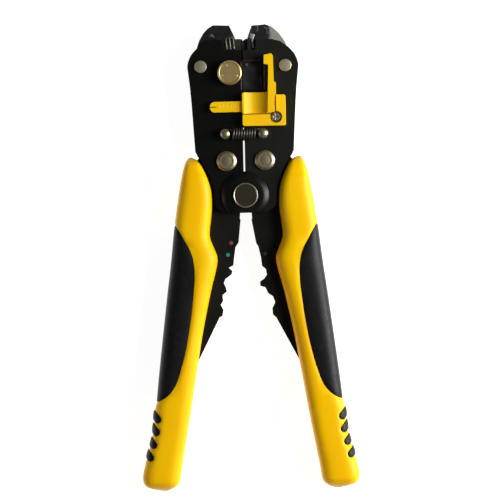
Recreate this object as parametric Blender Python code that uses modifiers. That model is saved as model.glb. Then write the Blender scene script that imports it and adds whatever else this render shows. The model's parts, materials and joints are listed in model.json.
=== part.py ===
"""Self-adjusting wire stripper, cutter and crimper, about 205 mm long.

The tool lies on its back: +Z is out of its front, +Y runs towards the jaws and X runs across it.
Shapes are drawn in millimetres in the tool's own plane, from the axis of the main rivet and from the
middle of its thickness, and become metres when a piece is made. `side` is -1 for the left half and
+1 for the right one.
"""

import math

import bmesh
import bpy
from mathutils import Matrix, Vector

MM = 0.001
GAP = 0.3             # clearance between neighbouring pieces

# Lengths and heights of the whole tool
GRIP_END_Y = -130.2   # lowest point of the grips
EAR_TOP_Y = 75.7      # top of the upper jaws
GRIP_HALF = 10.3      # half of the grips' thickness
CORE_HALF = 1.5       # half of the steel handle cores
JAW_HALF = 4.2        # half of the upper jaws
CHANNEL_HALF = 2.3    # half of the slot that runs through an upper jaw
POST_HALF = 2.0       # half of the lower jaws' narrow part
PLATE_IN = 4.6        # inner face of the head plates
PLATE_OUT = 6.6       # outer face of the head plates
BOSS_IN = PLATE_OUT + GAP
BOSS_OUT = 8.7        # outer face of the boss round the main rivet
TRIM_Z = PLATE_OUT + GAP

# Centres of the rivets and pins
JAW_PIVOT = (18.75, 57.2)
MID_RIVETS = {-1: (-8.0, 15.3), 1: (8.9, 15.4)}
SPRING_POST = (8.3, 27.2)
KNOB = (-5.9, 54.2)
STOP_SCREW = (14.3, 34.3)

# Opening between the two halves of the head. Above the springs, the seam between the back plates lies
# to the right of it. The lower jaws lap each other at theirs, which steps to the right halfway through.
SLIT_EDGE = {-1: -0.6, 1: 0.1}
BACK_SEAM = {-1: 0.3, 1: 0.6}
JAW_SEAM = {-1: -0.65, 1: -0.35}
JAW_SEAM_BACK = {-1: 0.0, 1: 0.3}

# The drive: a pin in each jaw's tail runs in a fork at the top of each handle core
FORK_SHARE = 2 / 3    # how far up the line of centres the pin sits, for a ratio of 2
FORK_SLOT = 1.7
FORK_HALF = 4.0
PIN_R = 1.4
POST_NECK_R = 1.35

LOBE_R = 8.2          # round end of the inner head plates
LAP_R = 7.7           # half-thick round end of the handle cores
BOSS_R = 9.8
SHANK_R = 3.0         # shank of the main rivet
JAW_SHANK_R = 2.0
MID_SHANK_R = 2.6
MID_SPACER_R = 3.0    # thick middle of the mid rivets, between the plates
KNOB_SHAFT_R = 1.8
SCREW_R = 1.3
THROUGH = 14          # a cutter this tall passes through the whole tool

WIRE_R = 0.42
COIL_R = 2.3
COIL_TURNS = 9
COIL_HALF_LENGTH = 5.2
FRONT_SPRING_Z = 9.65
BACK_SPRING_Z = -7.6

PIVOT_Y = -(GRIP_END_Y + EAR_TOP_Y) / 2

for old in list(bpy.data.objects):
    bpy.data.objects.remove(old, do_unlink=True)

parts = bpy.data.collections.new("wire_stripper")
cutters = bpy.data.collections.new("cutters")
bpy.context.scene.collection.children.link(parts)
bpy.context.scene.collection.children.link(cutters)


# ---------------------------------------------------------------- materials

def make_material(name, color, roughness, metallic):
    material = bpy.data.materials.new(name)
    material.use_nodes = True
    shader = material.node_tree.nodes["Principled BSDF"]
    shader.inputs["Base Color"].default_value = (*color, 1)
    shader.inputs["Roughness"].default_value = roughness
    shader.inputs["Metallic"].default_value = metallic
    return material


black_paint = make_material("black_paint", (0.012, 0.012, 0.013), 0.32, 0.0)
cast_steel = make_material("cast_steel", (0.06, 0.06, 0.062), 0.38, 0.8)
blade_steel = make_material("blade_steel", (0.55, 0.55, 0.53), 0.28, 1.0)
rivet_steel = make_material("rivet_steel", (0.5, 0.49, 0.46), 0.32, 1.0)
spring_steel = make_material("spring_steel", (0.05, 0.05, 0.05), 0.35, 0.9)
brass = make_material("brass", (0.62, 0.52, 0.33), 0.3, 1.0)
yellow_plastic = make_material("yellow_plastic", (1.0, 0.68, 0.0), 0.3, 0.0)
grip_plastic = make_material("grip_plastic", (0.98, 0.72, 0.0), 0.28, 0.0)
grip_rubber = make_material("grip_rubber", (0.022, 0.022, 0.02), 0.62, 0.0)
red_enamel = make_material("red_enamel", (0.6, 0.05, 0.04), 0.4, 0.0)
blue_enamel = make_material("blue_enamel", (0.02, 0.4, 0.5), 0.4, 0.0)
grey_enamel = make_material("grey_enamel", (0.4, 0.4, 0.38), 0.4, 0.0)


# ---------------------------------------------------------------- frames

tool_frame = bpy.data.objects.new("tool_frame", None)
tool_frame.location = (0, PIVOT_Y * MM, GRIP_HALF * MM)
parts.objects.link(tool_frame)


def make_axis(name, x=0.0, y=0.0, z=0.0):
    """An empty on a joint's axis, which carries the pieces of one moving body."""
    axis = bpy.data.objects.new(name, None)
    axis.location = (x * MM, y * MM, z * MM)
    axis.parent = tool_frame
    parts.objects.link(axis)
    return axis


left_head = make_axis("left_head_axis")
right_head = make_axis("right_head_axis")
left_handle = make_axis("left_handle_axis")
right_handle = make_axis("right_handle_axis")
left_jaw = make_axis("left_jaw_axis", -JAW_PIVOT[0], JAW_PIVOT[1])
right_jaw = make_axis("right_jaw_axis", *JAW_PIVOT)
knob_axis = make_axis("knob_axis", KNOB[0], KNOB[1], TRIM_Z)
stop_axis = make_axis("stop_axis", 0, 0, TRIM_Z)


def settle(obj, material, axis):
    """Gives a piece its material and hangs it on its body's empty, without moving it."""
    obj.data.materials.clear()
    obj.data.materials.append(material)
    obj.parent = axis
    obj.location = -axis.location
    return obj


# ---------------------------------------------------------------- outlines

def mirrored(points, side):
    """Points drawn for the left half, turned over for the right one."""
    return [(-side * x, y) for x, y in points]


def arc(center, radius, start, end, steps):
    """Points on a circle from one angle to another, in degrees."""
    turns = [math.radians(start + (end - start) * i / steps) for i in range(steps + 1)]
    return [(center[0] + radius * math.cos(t), center[1] + radius * math.sin(t)) for t in turns]


def circle(center, radius, steps=20):
    return arc(center, radius, 0, 360 * (steps - 1) / steps, steps - 1)


def smooth(points, steps):
    """A Catmull-Rom curve through the points, with its ends kept."""
    ends = [points[0], *points, points[-1]]
    result = []
    for i in range(1, len(ends) - 2):
        a, b, c, d = (Vector(p) for p in ends[i - 1:i + 3])
        for k in range(steps):
            t = k / steps
            point = 0.5 * (2 * b + (c - a) * t + (2 * a - 5 * b + 4 * c - d) * t ** 2
                           + (3 * b - a - 3 * c + d) * t ** 3)
            result.append(tuple(point))
    result.append(points[-1])
    return result


def area(points):
    pairs = zip(points, points[1:] + points[:1])
    return sum(a[0] * b[1] - b[0] * a[1] for a, b in pairs) / 2


def grown(points, by):
    """A closed outline moved outwards by a distance, with its corners kept sharp."""
    if area(points) < 0:
        points = points[::-1]
    result = []
    for i, here in enumerate(points):
        before = (Vector(here) - Vector(points[i - 1])).normalized()
        after = (Vector(points[(i + 1) % len(points)]) - Vector(here)).normalized()
        out_before = Vector((before.y, -before.x))
        out_after = Vector((after.y, -after.x))
        middle = (out_before + out_after).normalized()
        reach = min(by / max(middle.dot(out_before), 0.3), 2.5 * by)
        result.append(tuple(Vector(here) + middle * reach))
    return result


# ---------------------------------------------------------------- solids

def mesh_of(obj):
    """A plain mesh of an object as the viewport shows it, welded, with the object removed."""
    graph = bpy.context.evaluated_depsgraph_get()
    mesh = bpy.data.meshes.new_from_object(obj.evaluated_get(graph))
    shape = bmesh.new()
    shape.from_mesh(mesh)
    bmesh.ops.remove_doubles(shape, verts=shape.verts, dist=1e-6)
    bmesh.ops.recalc_face_normals(shape, faces=shape.faces)
    shape.to_mesh(mesh)
    shape.free()
    bpy.data.objects.remove(obj, do_unlink=True)
    return mesh


def new_piece(name, mesh, collection=parts):
    obj = bpy.data.objects.new(name, mesh)
    collection.objects.link(obj)
    return obj


def slab_mesh(name, outlines, low, high):
    """A flat plate between two heights. The first outline is its edge, and the others are holes."""
    curve = bpy.data.curves.new(name, "CURVE")
    curve.dimensions = "2D"
    curve.fill_mode = "BOTH"
    curve.extrude = (high - low) / 2 * MM
    for points in outlines:
        spline = curve.splines.new("POLY")
        spline.points.add(len(points) - 1)
        for slot, (x, y) in zip(spline.points, points):
            slot.co = (x * MM, y * MM, 0, 1)
        spline.use_cyclic_u = True
    obj = bpy.data.objects.new(name, curve)
    parts.objects.link(obj)
    mesh = mesh_of(obj)
    mesh.transform(Matrix.Translation((0, 0, (high + low) / 2 * MM)))
    return mesh


def slab(name, outlines, low, high, material, axis):
    return settle(new_piece(name, slab_mesh(name, outlines, low, high)), material, axis)


def slab_cutter(name, outline, low, high):
    obj = new_piece(name, slab_mesh(name, [outline], low, high), cutters)
    return hide_cutter(obj)


def hide_cutter(obj):
    obj.parent = tool_frame
    obj.hide_render = True
    obj.display_type = "WIRE"
    return obj


def round_cutter(name, center, radius, low, high, steps=20):
    bpy.ops.mesh.primitive_cylinder_add(vertices=steps, radius=radius * MM, depth=(high - low) * MM)
    obj = bpy.context.object
    obj.name = name
    for collection in list(obj.users_collection):
        collection.objects.unlink(obj)
    cutters.objects.link(obj)
    obj.location = (center[0] * MM, center[1] * MM, (high + low) / 2 * MM)
    return hide_cutter(obj)


def combine(obj, other, operation):
    modifier = obj.modifiers.new(other.name, "BOOLEAN")
    modifier.object = other
    modifier.operation = operation
    modifier.solver = "EXACT"
    return obj


def cut(obj, *tools):
    for tool in tools:
        combine(obj, tool, "DIFFERENCE")
    return obj


def turned(name, profile, center, material, axis, steps=24):
    """A turned piece. The profile is (radius, height) from its top to its foot."""
    mesh = bpy.data.meshes.new(name)
    mesh.from_pydata([(r * MM, 0, z * MM) for r, z in profile],
                     [(i, i + 1) for i in range(len(profile) - 1)], [])
    obj = new_piece(name, mesh)
    screw = obj.modifiers.new("turned", "SCREW")
    screw.axis = "Z"
    screw.steps = steps
    screw.render_steps = steps
    screw.use_merge_vertices = True
    screw.merge_threshold = 0.00001
    settle(obj, material, axis)
    obj.location += Vector((center[0] * MM, center[1] * MM, 0))
    return obj


def wire_piece(name, points, radius, material, axis, resolution=2):
    """A round wire through points in three dimensions."""
    curve = bpy.data.curves.new(name, "CURVE")
    curve.dimensions = "3D"
    curve.bevel_depth = radius * MM
    curve.bevel_resolution = resolution
    curve.use_fill_caps = True
    spline = curve.splines.new("POLY")
    spline.points.add(len(points) - 1)
    for slot, (x, y, z) in zip(spline.points, points):
        slot.co = (x * MM, y * MM, z * MM, 1)
    obj = bpy.data.objects.new(name, curve)
    parts.objects.link(obj)
    return settle(obj, material, axis)


# ---------------------------------------------------------------- head plates

def plate_outline(side, face):
    """Edge of a head plate, from the slit round the jaw notch, the jaw pivot and the grip."""
    notch = {-1: -8.6, 1: 5.6}[side]
    slit = SLIT_EDGE[side]
    top = [(notch, 64.3), (notch + side * 0.5, 68.9), (side * 12.8, 69.0), (side * 16.6, 68.0),
           (side * 20.0, 65.6)]
    lug = smooth([(side * 20.0, 65.6), (side * 22.9, 62.4), (side * 24.5, 58.2),
                  (side * 24.3, 54.5), (side * 23.6, 48.5)], 3)[1:]
    flank = [(side * 23.0, 40.5), (side * 22.3, 29.0), (side * 21.8, 19.6)]
    waist = smooth([(side * 20.9, 17.8), (side * 18.4, 14.0), (side * 15.8, 8.6), (side * 14.1, 3.2),
                    (side * 13.7, -2.0), (side * 13.0, -5.0), (side * 9.4, -7.2)], 3)
    foot = [(side * 3.0, -7.6), (slit, -6.0)]
    coil = COIL_R + WIRE_R + 0.4
    if face > 0:
        sight = [(slit, 46.8), (9.1, 46.8), (9.1, 59.4), (slit, 59.4)] if side > 0 else []
        return top + lug + flank + waist + foot + sight + [(slit, 64.3)]
    seam = BACK_SEAM[side]
    window = [(slit, SPRING_POST[1] - coil), (side * 6.9, SPRING_POST[1] - coil),
              (side * 6.9, SPRING_POST[1] + coil), (seam, SPRING_POST[1] + coil)]
    return top + lug + flank + waist + foot + window + [(seam, 64.3)]


def plate_holes(side):
    jaw = (side * JAW_PIVOT[0], JAW_PIVOT[1])
    post = (side * SPRING_POST[0], SPRING_POST[1])
    return [circle(jaw, JAW_SHANK_R + GAP), circle(MID_RIVETS[side], MID_SHANK_R + GAP),
            circle(post, PIN_R + GAP)]


def make_plate(side, face, name, axis):
    """One head plate. `face` is +1 for a front plate and -1 for a back plate."""
    low, high = sorted((face * PLATE_IN, face * PLATE_OUT))
    holes = plate_holes(side)
    if side < 0 < face:
        holes.append(circle(KNOB, KNOB_SHAFT_R + GAP))
    plate = slab(name, [plate_outline(side, face), *holes], low, high, black_paint, axis)
    if side < 0:
        cut(plate, round_cutter(f"{name}_clearance", (0, 0), LOBE_R + 0.4, low - 1, high + 1, 32))
        web_low, web_high = sorted((face * (PLATE_IN + 0.3), face * (BOSS_OUT - 0.6)))
        web = arc((0, 0), BOSS_R - 0.2, 97, 231, 14) + arc((0, 0), LOBE_R + 0.5, 231, 97, 14)
        combine(plate, slab_cutter(f"{name}_riser", web, web_low, web_high), "UNION")
        cap_low, cap_high = sorted((face * BOSS_IN, face * BOSS_OUT))
        cap = arc((0, 0), BOSS_R, -50, 230, 32)
        combine(plate, slab_cutter(f"{name}_boss", cap, cap_low, cap_high), "UNION")
    else:
        lobe = arc((0, 0), LOBE_R, -68, 248, 30)
        combine(plate, slab_cutter(f"{name}_lobe", lobe, low + 0.01, high - 0.01), "UNION")
    cut(plate, round_cutter(f"{name}_bore", (0, 0), SHANK_R + GAP, -THROUGH, THROUGH))
    return plate


make_plate(-1, 1, "left_front_plate", left_head)
make_plate(-1, -1, "left_back_plate", left_head)
make_plate(1, 1, "right_front_plate", right_head)
make_plate(1, -1, "right_back_plate", right_head)


# ---------------------------------------------------------------- rivets and pins

def rivet_profile(head_r, head_in, head_out, shank_r, chamfer, spacer_r=None):
    """A rivet with a head on each side and, where wanted, a thick middle between the plates."""
    half = [(0, head_out), (head_r - chamfer, head_out), (head_r, head_out - chamfer), (head_r, head_in),
            (shank_r, head_in)]
    if spacer_r:
        half += [(shank_r, PLATE_IN - GAP), (spacer_r, PLATE_IN - GAP)]
    return half + [(r, -z) for r, z in reversed(half)]


for side_name, side, axis in (("left", -1, left_head), ("right", 1, right_head)):
    turned(f"{side_name}_jaw_rivet", rivet_profile(2.75, TRIM_Z, 7.8, JAW_SHANK_R, 0.25),
           (side * JAW_PIVOT[0], JAW_PIVOT[1]), rivet_steel, axis, 16)
    turned(f"{side_name}_mid_rivet", rivet_profile(4.5, TRIM_Z, 8.3, MID_SHANK_R, 0.6, MID_SPACER_R),
           MID_RIVETS[side], rivet_steel, axis, 20)
    head = [(0, 1.6), (1.2, 1.6), (1.9, 1.2), (2.1, 0.7), (1.9, 0.2), (POST_NECK_R, 0)]
    front = [(r, FRONT_SPRING_Z + 0.7 + z) for r, z in head]
    back = [(r, BACK_SPRING_Z - 0.7 - z) for r, z in head]
    neck = [(POST_NECK_R, TRIM_Z), (PIN_R, PLATE_OUT), (PIN_R, -PLATE_OUT), (POST_NECK_R, -TRIM_Z)]
    turned(f"{side_name}_spring_post", front + neck + back[::-1],
           (side * SPRING_POST[0], SPRING_POST[1]), rivet_steel, axis, 12)

turned("main_pivot_rivet", rivet_profile(5.5, BOSS_OUT + GAP, 10.1, SHANK_R, 0.3), (0, 0),
       rivet_steel, left_head, 32)
slab("pivot_washer", [circle((0, 0), 7.4), circle((0, 0), SHANK_R + GAP)],
     CORE_HALF + GAP, PLATE_IN - GAP, rivet_steel, left_head)


# ---------------------------------------------------------------- lower jaws

def make_lower_jaw(side, name, axis):
    """A narrow jaw between the upper jaw's cheeks, on a base as wide as the gap between the plates."""
    front, back = JAW_SEAM[side], JAW_SEAM_BACK[side]
    slit = min(side * front, side * back) * side
    nose = [(slit, 69.5), (side * 12.2, 69.5)]
    if side > 0:
        nose = [(slit, 68.3), (1.6, 69.6), (12.2, 69.6)]
    post = nose + [(side * 12.2, 62.0), (side * 9.4, 58.5), (side * 9.4, 46.5), (slit, 46.5)]
    jaw = slab(name, [post], -POST_HALF, POST_HALF, black_paint, axis)
    wide = 9.2 if side < 0 else 8.0
    base = [(slit, 46.7), (side * wide, 46.7), (side * wide, 60.3), (slit, 60.3)]
    half = PLATE_IN - GAP
    combine(jaw, slab_cutter(f"{name}_base", base, -half, half), "UNION")
    step, low, high = (front, -GAP / 2, THROUGH) if side < 0 else (back, -THROUGH, GAP / 2)
    lap = [(step, 40), (step - 2 * side, 40), (step - 2 * side, 75), (step, 75)]
    return cut(jaw, slab_cutter(f"{name}_lap", lap, low, high))


left_lower_jaw = make_lower_jaw(-1, "left_lower_jaw", left_head)
CAM_R = 2.3
cut(left_lower_jaw, round_cutter("cam_bore", KNOB, CAM_R + GAP, -THROUGH, THROUGH))
right_lower_jaw = make_lower_jaw(1, "right_lower_jaw", right_head)
BLADE_X = 4.8
BLADE_T = 0.8
blade_pocket = [(BLADE_X - 0.7, 62.0), (BLADE_X + 0.7, 62.0), (BLADE_X + 0.7, 71), (BLADE_X - 0.7, 71)]
cut(right_lower_jaw, slab_cutter("lower_blade_pocket", blade_pocket, -3, 3))
lower_blade = [(BLADE_X - BLADE_T / 2, 62.4), (BLADE_X + BLADE_T / 2, 62.4),
               (BLADE_X + BLADE_T / 2, 69.2), (BLADE_X, 69.7), (BLADE_X - BLADE_T / 2, 69.2)]
slab("lower_blade", [lower_blade], -1.9, 1.9, blade_steel, right_head)


# ---------------------------------------------------------------- upper jaws

def line_of_centres():
    """Unit vectors along and across the line from the main rivet to the left jaw's pivot."""
    along = Vector((-JAW_PIVOT[0], JAW_PIVOT[1]))
    distance = along.length
    along.normalize()
    return along, Vector((along.y, -along.x)), distance


ALONG, ACROSS, CENTRES = line_of_centres()
PIN = ALONG * CENTRES * FORK_SHARE


def jaw_outline(side):
    """Edge of an upper jaw with its lug round the pivot and its tail down to the drive pin."""
    crown = {
        -1: [(-3.3, 69.9), (-5.7, 75.4), (-13.0, EAR_TOP_Y), (-15.3, 74.3), (-17.2, 72.3), (-19.2, 68.9),
             (-20.4, 65.2)],
        1: [(2.3, 69.8), (4.1, 75.2), (10.2, EAR_TOP_Y), (13.2, 74.6), (16.2, 71.8), (18.7, 68.4),
            (20.1, 65.2)],
    }[side]
    lug = arc((-JAW_PIVOT[0], JAW_PIVOT[1]), 4.7, 165, 205, 4)
    tail = [tuple(PIN + 2.9 * (-ACROSS * math.cos(t) - ALONG * math.sin(t)))
            for t in [math.pi * k / 8 for k in range(9)]]
    belly = [(-13.6, 50.5), (-13.2, 58.5), (-9.0, 63.6)]
    toe = {-1: (-3.3, 64.4), 1: (2.3, 64.4)}[side]
    return crown + mirrored(lug + tail + belly, side) + [toe]


JAW_TILT = math.tan(math.radians(12))
CHANNEL_TOP = 73.5    # underside of the jaw's roof, 4 mm from the slit


def make_upper_jaw(side, name, axis):
    jaw = slab(name, [jaw_outline(side)], -JAW_HALF, JAW_HALF, cast_steel, axis)
    channel = [(3.0, CHANNEL_TOP + 7 * JAW_TILT), (-27.0, CHANNEL_TOP - 23 * JAW_TILT), (-27.0, 30.0),
               (3.0, 30.0)]
    cut(jaw, slab_cutter(f"{name}_channel", mirrored(channel, side), -CHANNEL_HALF, CHANNEL_HALF))
    pivot = (side * JAW_PIVOT[0], JAW_PIVOT[1])
    pin = (-side * PIN.x, PIN.y)
    cut(jaw, round_cutter(f"{name}_bore", pivot, JAW_SHANK_R + GAP, -THROUGH, THROUGH))
    cut(jaw, round_cutter(f"{name}_pin_bore", pin, PIN_R + GAP, -THROUGH, THROUGH))
    end = JAW_HALF - 0.1
    turned(f"{name}_pin", [(0, end), (PIN_R, end), (PIN_R, -end), (0, -end)], pin, rivet_steel, axis, 16)
    return jaw


left_upper_jaw = make_upper_jaw(-1, "left_upper_jaw", left_jaw)
right_upper_jaw = make_upper_jaw(1, "right_upper_jaw", right_jaw)

# Three gripping ribs stand on the front of the left jaw's toe.
for number, x in enumerate((-7.3, -5.7, -4.1)):
    rib = [(x - 0.35, 64.8), (x + 0.35, 64.8), (x + 0.35, 69.6), (x - 0.35, 69.6)]
    raised = slab_cutter(f"grip_rib_{number}", rib, JAW_HALF - 0.4, JAW_HALF + 0.3)
    combine(left_upper_jaw, raised, "UNION")

# The upper blade straddles the lower jaw: a bridge under the roof and a leg through each cheek.
blade_legs = [(-4.5, 65.2), (-2.7, 65.2), (-2.7, 73.3), (2.7, 73.3), (2.7, 65.2), (4.5, 65.2),
              (4.5, 74.6), (-4.5, 74.6)]


def stand_up(mesh, x, lean):
    """Turns a slab drawn in (z, y) to stand across X, leaning by an angle about its middle."""
    mesh.transform(Matrix(((0, 0, 1, 0), (0, 1, 0, 0), (-1, 0, 0, 0), (0, 0, 0, 1))))
    middle = Vector((0, 70 * MM, 0))
    mesh.transform(Matrix.Translation(middle) @ Matrix.Rotation(lean, 4, "Z") @ Matrix.Translation(-middle))
    mesh.transform(Matrix.Translation((x * MM, 0, 0)))
    return mesh


BLADE_LEAN = math.radians(6)
upper_blade = slab_mesh("upper_blade", [blade_legs], -BLADE_T / 2, BLADE_T / 2)
settle(new_piece("upper_blade", stand_up(upper_blade, BLADE_X, BLADE_LEAN)), blade_steel, right_jaw)
slot_half = BLADE_T / 2 + GAP
blade_slot = slab_mesh("upper_blade_slot", [grown(blade_legs, GAP)], -slot_half, slot_half)
slot = new_piece("upper_blade_slot", stand_up(blade_slot, BLADE_X, BLADE_LEAN), cutters)
cut(right_upper_jaw, hide_cutter(slot))


# ---------------------------------------------------------------- handles

OUTER_EDGE = [(24.6, 17.3), (25.7, 16.4), (26.9, 13.6), (28.3, 8.3), (29.6, 1.0), (30.9, -7.0), (32.1, -15.5),
              (33.1, -24.3), (34.2, -33.3), (35.4, -42.0), (37.7, -60.0), (39.9, -78.0), (41.4, -91.0),
              (42.4, -95.0), (43.3, -104.0), (44.4, -109.0), (45.8, -113.5), (46.8, -118.0), (47.9, -122.5),
              (47.9, -126.0), (45.4, -128.6), (41.0, GRIP_END_Y)]
INNER_EDGE = [(23.5, 17.3), (21.3, 16.4), (19.1, 13.6), (16.7, 8.3), (15.1, 3.0), (14.7, -2.3), (15.0, -6.7),
              (16.0, -14.0), (16.1, -18.5), (14.2, -23.6), (12.9, -27.6), (13.8, -33.3), (16.1, -42.0),
              (20.0, -60.0), (23.2, -78.0), (26.9, -100.0), (30.2, -118.0), (31.2, -123.0),
              (32.6, -126.6), (35.0, -129.0), (38.5, GRIP_END_Y)]
THICKNESS = [(1.8, 17.3), (4.6, 16.4), (7.8, 14.0), (9.7, 10.0), (GRIP_HALF, 3.0), (GRIP_HALF, -60.0),
             (GRIP_HALF, -122.5), (8.9, -126.0), (6.3, -128.6), (2.4, GRIP_END_Y)]


def read_edge(edge, y):
    """The value of a curve through (value, y) points at a height."""
    for (value_a, y_a), (value_b, y_b) in zip(edge, edge[1:]):
        if y_b <= y <= y_a:
            return value_a + (value_b - value_a) * (y_a - y) / (y_a - y_b)
    return edge[-1][0] if y < edge[-1][1] else edge[0][0]


def grip_heights():
    """Heights of a grip's sections, close together where its outline turns."""
    return [17.3, 16.2, 14.2, 11.4, 8.3, 3.0, -2.3, -8.0, -14.0, -18.5, -21.5, -24.5, -27.6, -31.0, -42.0,
            -60.0, -78.0, -91.0, -95.0, -104.0, -109.0, -113.5, -118.0, -122.5, -125.0, -127.2, -129.0,
            GRIP_END_Y]


def grip_mesh(name, side, proud=0.0):
    """A loft of flattened ovals between the grip's edges, which may stand proud at the outer edge."""
    smooth_outer = smooth(OUTER_EDGE, 4)
    smooth_inner = smooth(INNER_EDGE, 4)
    smooth_thick = smooth(THICKNESS, 4)
    corners = 16
    shape = bmesh.new()
    rings = []
    for y in grip_heights():
        outer = read_edge(smooth_outer, y) + proud
        inner = read_edge(smooth_inner, y)
        half = min(read_edge(smooth_thick, y), GRIP_HALF) - proud / 4
        middle = (outer + inner) / 2
        ring = []
        for k in range(corners):
            t = 2 * math.pi * (k + 0.5) / corners
            c, s = math.cos(t), math.sin(t)
            x = middle + (outer - inner) / 2 * math.copysign(min(1, abs(c) ** 0.55 * 1.04), c)
            z = half * math.copysign(min(1, abs(s) ** 0.62 * 1.13), s)
            ring.append(shape.verts.new((side * x * MM, y * MM, z * MM)))
        rings.append(ring)
    for upper, lower in zip(rings, rings[1:]):
        for k in range(corners):
            following = (k + 1) % corners
            shape.faces.new((upper[k], upper[following], lower[following], lower[k]))
    shape.faces.new(rings[0])
    shape.faces.new(rings[-1])
    bmesh.ops.recalc_face_normals(shape, faces=shape.faces)
    mesh = bpy.data.meshes.new(name)
    shape.to_mesh(mesh)
    shape.free()
    return mesh


INLAY_EDGE = [(-33.5, -10.6), (-31.4, -13.2), (-27.6, -19.5), (-24.8, -24.8), (-23.5, -30.2), (-23.3, -36.0),
              (-23.8, -42.8), (-25.4, -55.6), (-27.6, -67.3), (-29.9, -75.8), (-32.5, -83.0), (-36.0, -87.6),
              (-40.6, -90.3), (-43.5, -91.2)]

CRIMP_LEFT = [(-2.5, -7.2), (-2.7, -10.3), (-2.4, -10.6), (-3.5, -20.8), (-4.9, -22.8), (-5.6, -27.4),
              (-6.0, -30.9), (-8.1, -31.9), (-6.5, -33.4), (-6.9, -34.9), (-9.7, -36.9), (-10.4, -38.7),
              (-9.5, -40.7), (-9.2, -42.5), (-11.1, -44.0), (-10.9, -46.6), (-12.0, -48.3), (-10.8, -50.6),
              (-11.3, -53.1), (-12.6, -53.9)]
CRIMP_RIGHT = [(-2.5, -7.2), (-2.7, -10.3), (-2.4, -10.6), (-4.3, -21.2), (-5.2, -22.6), (-6.3, -27.6),
               (-6.7, -31.4), (-8.3, -32.7), (-8.8, -35.2), (-7.6, -37.0), (-5.7, -38.3), (-5.8, -40.2),
               (-8.0, -40.9), (-9.1, -43.4), (-11.3, -45.0), (-12.2, -47.6), (-10.9, -50.3),
               (-11.1, -53.0), (-12.6, -54.4)]

TANG = [(-22.3, -73.0), (-26.6, -85.0), (-29.2, -100.0), (-31.4, -113.0), (-32.8, -116.5), (-34.8, -116.0),
        (-34.0, -106.0), (-31.6, -92.0), (-28.0, -76.0), (-25.9, -67.3), (-23.7, -55.6), (-22.1, -42.8),
        (-21.7, -36.0), (-21.9, -30.2), (-23.0, -24.0), (-24.9, -16.0), (-25.2, -6.0), (-24.2, 4.0),
        (-22.7, 13.6), (-18.4, 20.0), (-16.9, 28.0)]


def core_outline(crimp):
    """Edge of a steel handle core: crimping dies, tang, arm, fork and the round end at the rivet."""
    def at_fork(across, along):
        return tuple(PIN + ACROSS * across + ALONG * along)

    fork = [at_fork(-FORK_HALF, -1.0), at_fork(-FORK_HALF, 2.6), at_fork(-3.2, 3.4), at_fork(-FORK_SLOT, 3.4)]
    fork += [at_fork(-FORK_SLOT * math.cos(t), -0.4 - FORK_SLOT * math.sin(t))
             for t in [math.pi * k / 8 for k in range(9)]]
    fork += [at_fork(FORK_SLOT, 3.4), at_fork(3.2, 3.4), at_fork(FORK_HALF, 2.6), at_fork(FORK_HALF, -1.0)]
    arm = [(-10.6, 30.0), (-11.6, 24.0), (-12.4, 18.0), (-12.2, 13.0), (-9.4, 9.6), (-5.4, 8.0)]
    round_end = arc((0, 0), LAP_R, 104, -106, 22)
    return crimp + TANG + fork + arm + round_end


def make_core(side, name, crimp, axis):
    """A handle core, half as thick where it laps over the other core at the main rivet."""
    outline = mirrored(core_outline(crimp), side)
    core = slab(name, [outline, circle((0, 0), SHANK_R + GAP)], -CORE_HALF, CORE_HALF, black_paint, axis)
    far = CORE_HALF + 0.5
    low, high = (-far, GAP / 2) if side < 0 else (-GAP / 2, far)
    cut(core, round_cutter(f"{name}_lap", (0, 0), LAP_R + 0.5, low, high, 32))
    return core


INLAY_REACH = -55.0   # past the grip's outer edge
SPINE_HALF = 4.0      # half of the strip that joins the soft ribs inside the grip


def make_grip(side, side_name, crimp, axis):
    """The yellow grip, its soft inlay along the outer edge, and the comb of four soft ribs below."""
    grip_name = f"{side_name}_grip"
    grip = settle(new_piece(grip_name, grip_mesh(grip_name, side)), grip_plastic, axis)
    core_space = mirrored(grown(core_outline(crimp), GAP), side)
    cut(grip, slab_cutter(f"{grip_name}_core_space", core_space, -CORE_HALF - GAP, CORE_HALF + GAP))

    region = smooth(INLAY_EDGE, 2) + [(INLAY_REACH, -95.0), (INLAY_REACH, -9.0)]
    deep = GRIP_HALF + 2
    cut(grip, slab_cutter(f"{grip_name}_inlay_space", mirrored(grown(region, GAP), side), -deep, deep))
    inlay_name = f"{side_name}_grip_inlay"
    inlay = settle(new_piece(inlay_name, grip_mesh(inlay_name, side)), grip_rubber, axis)
    combine(inlay, slab_cutter(f"{inlay_name}_region", mirrored(region, side), -deep, deep), "INTERSECT")

    ribs_name = f"{side_name}_grip_ribs"
    ribs = settle(new_piece(ribs_name, grip_mesh(ribs_name, side, 0.5)), grip_rubber, axis)
    blocks = None
    for number, y in enumerate((-99.4, -105.0, -110.6, -116.2)):
        root = (-read_edge(OUTER_EDGE, y) + 3.5, y)
        tip = (root[0] - 5.2, y + 6.2)
        finger = arc(root, 1.5, -130, 40, 8) + arc(tip, 0.9, 40, 230, 6)
        spaced = slab_cutter(f"{ribs_name}_space_{number}", mirrored(grown(finger, GAP), side), -deep, deep)
        cut(grip, spaced)
        block = slab_cutter(f"{ribs_name}_finger_{number}", mirrored(finger, side), -deep, deep)
        if blocks:
            combine(blocks, block, "UNION")
        else:
            blocks = block
    spine = [(-39.6, -97.6), (-41.0, -97.6), (-41.9, -107.0), (-44.2, -116.6), (-42.8, -117.0),
             (-40.5, -107.4)]
    joint = slab_cutter(f"{ribs_name}_spine", mirrored(spine, side), -SPINE_HALF, SPINE_HALF)
    combine(blocks, joint, "UNION")
    half = SPINE_HALF + GAP
    cut(grip, slab_cutter(f"{ribs_name}_spine_space", mirrored(grown(spine, GAP), side), -half, half))
    combine(ribs, blocks, "INTERSECT")


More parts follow.
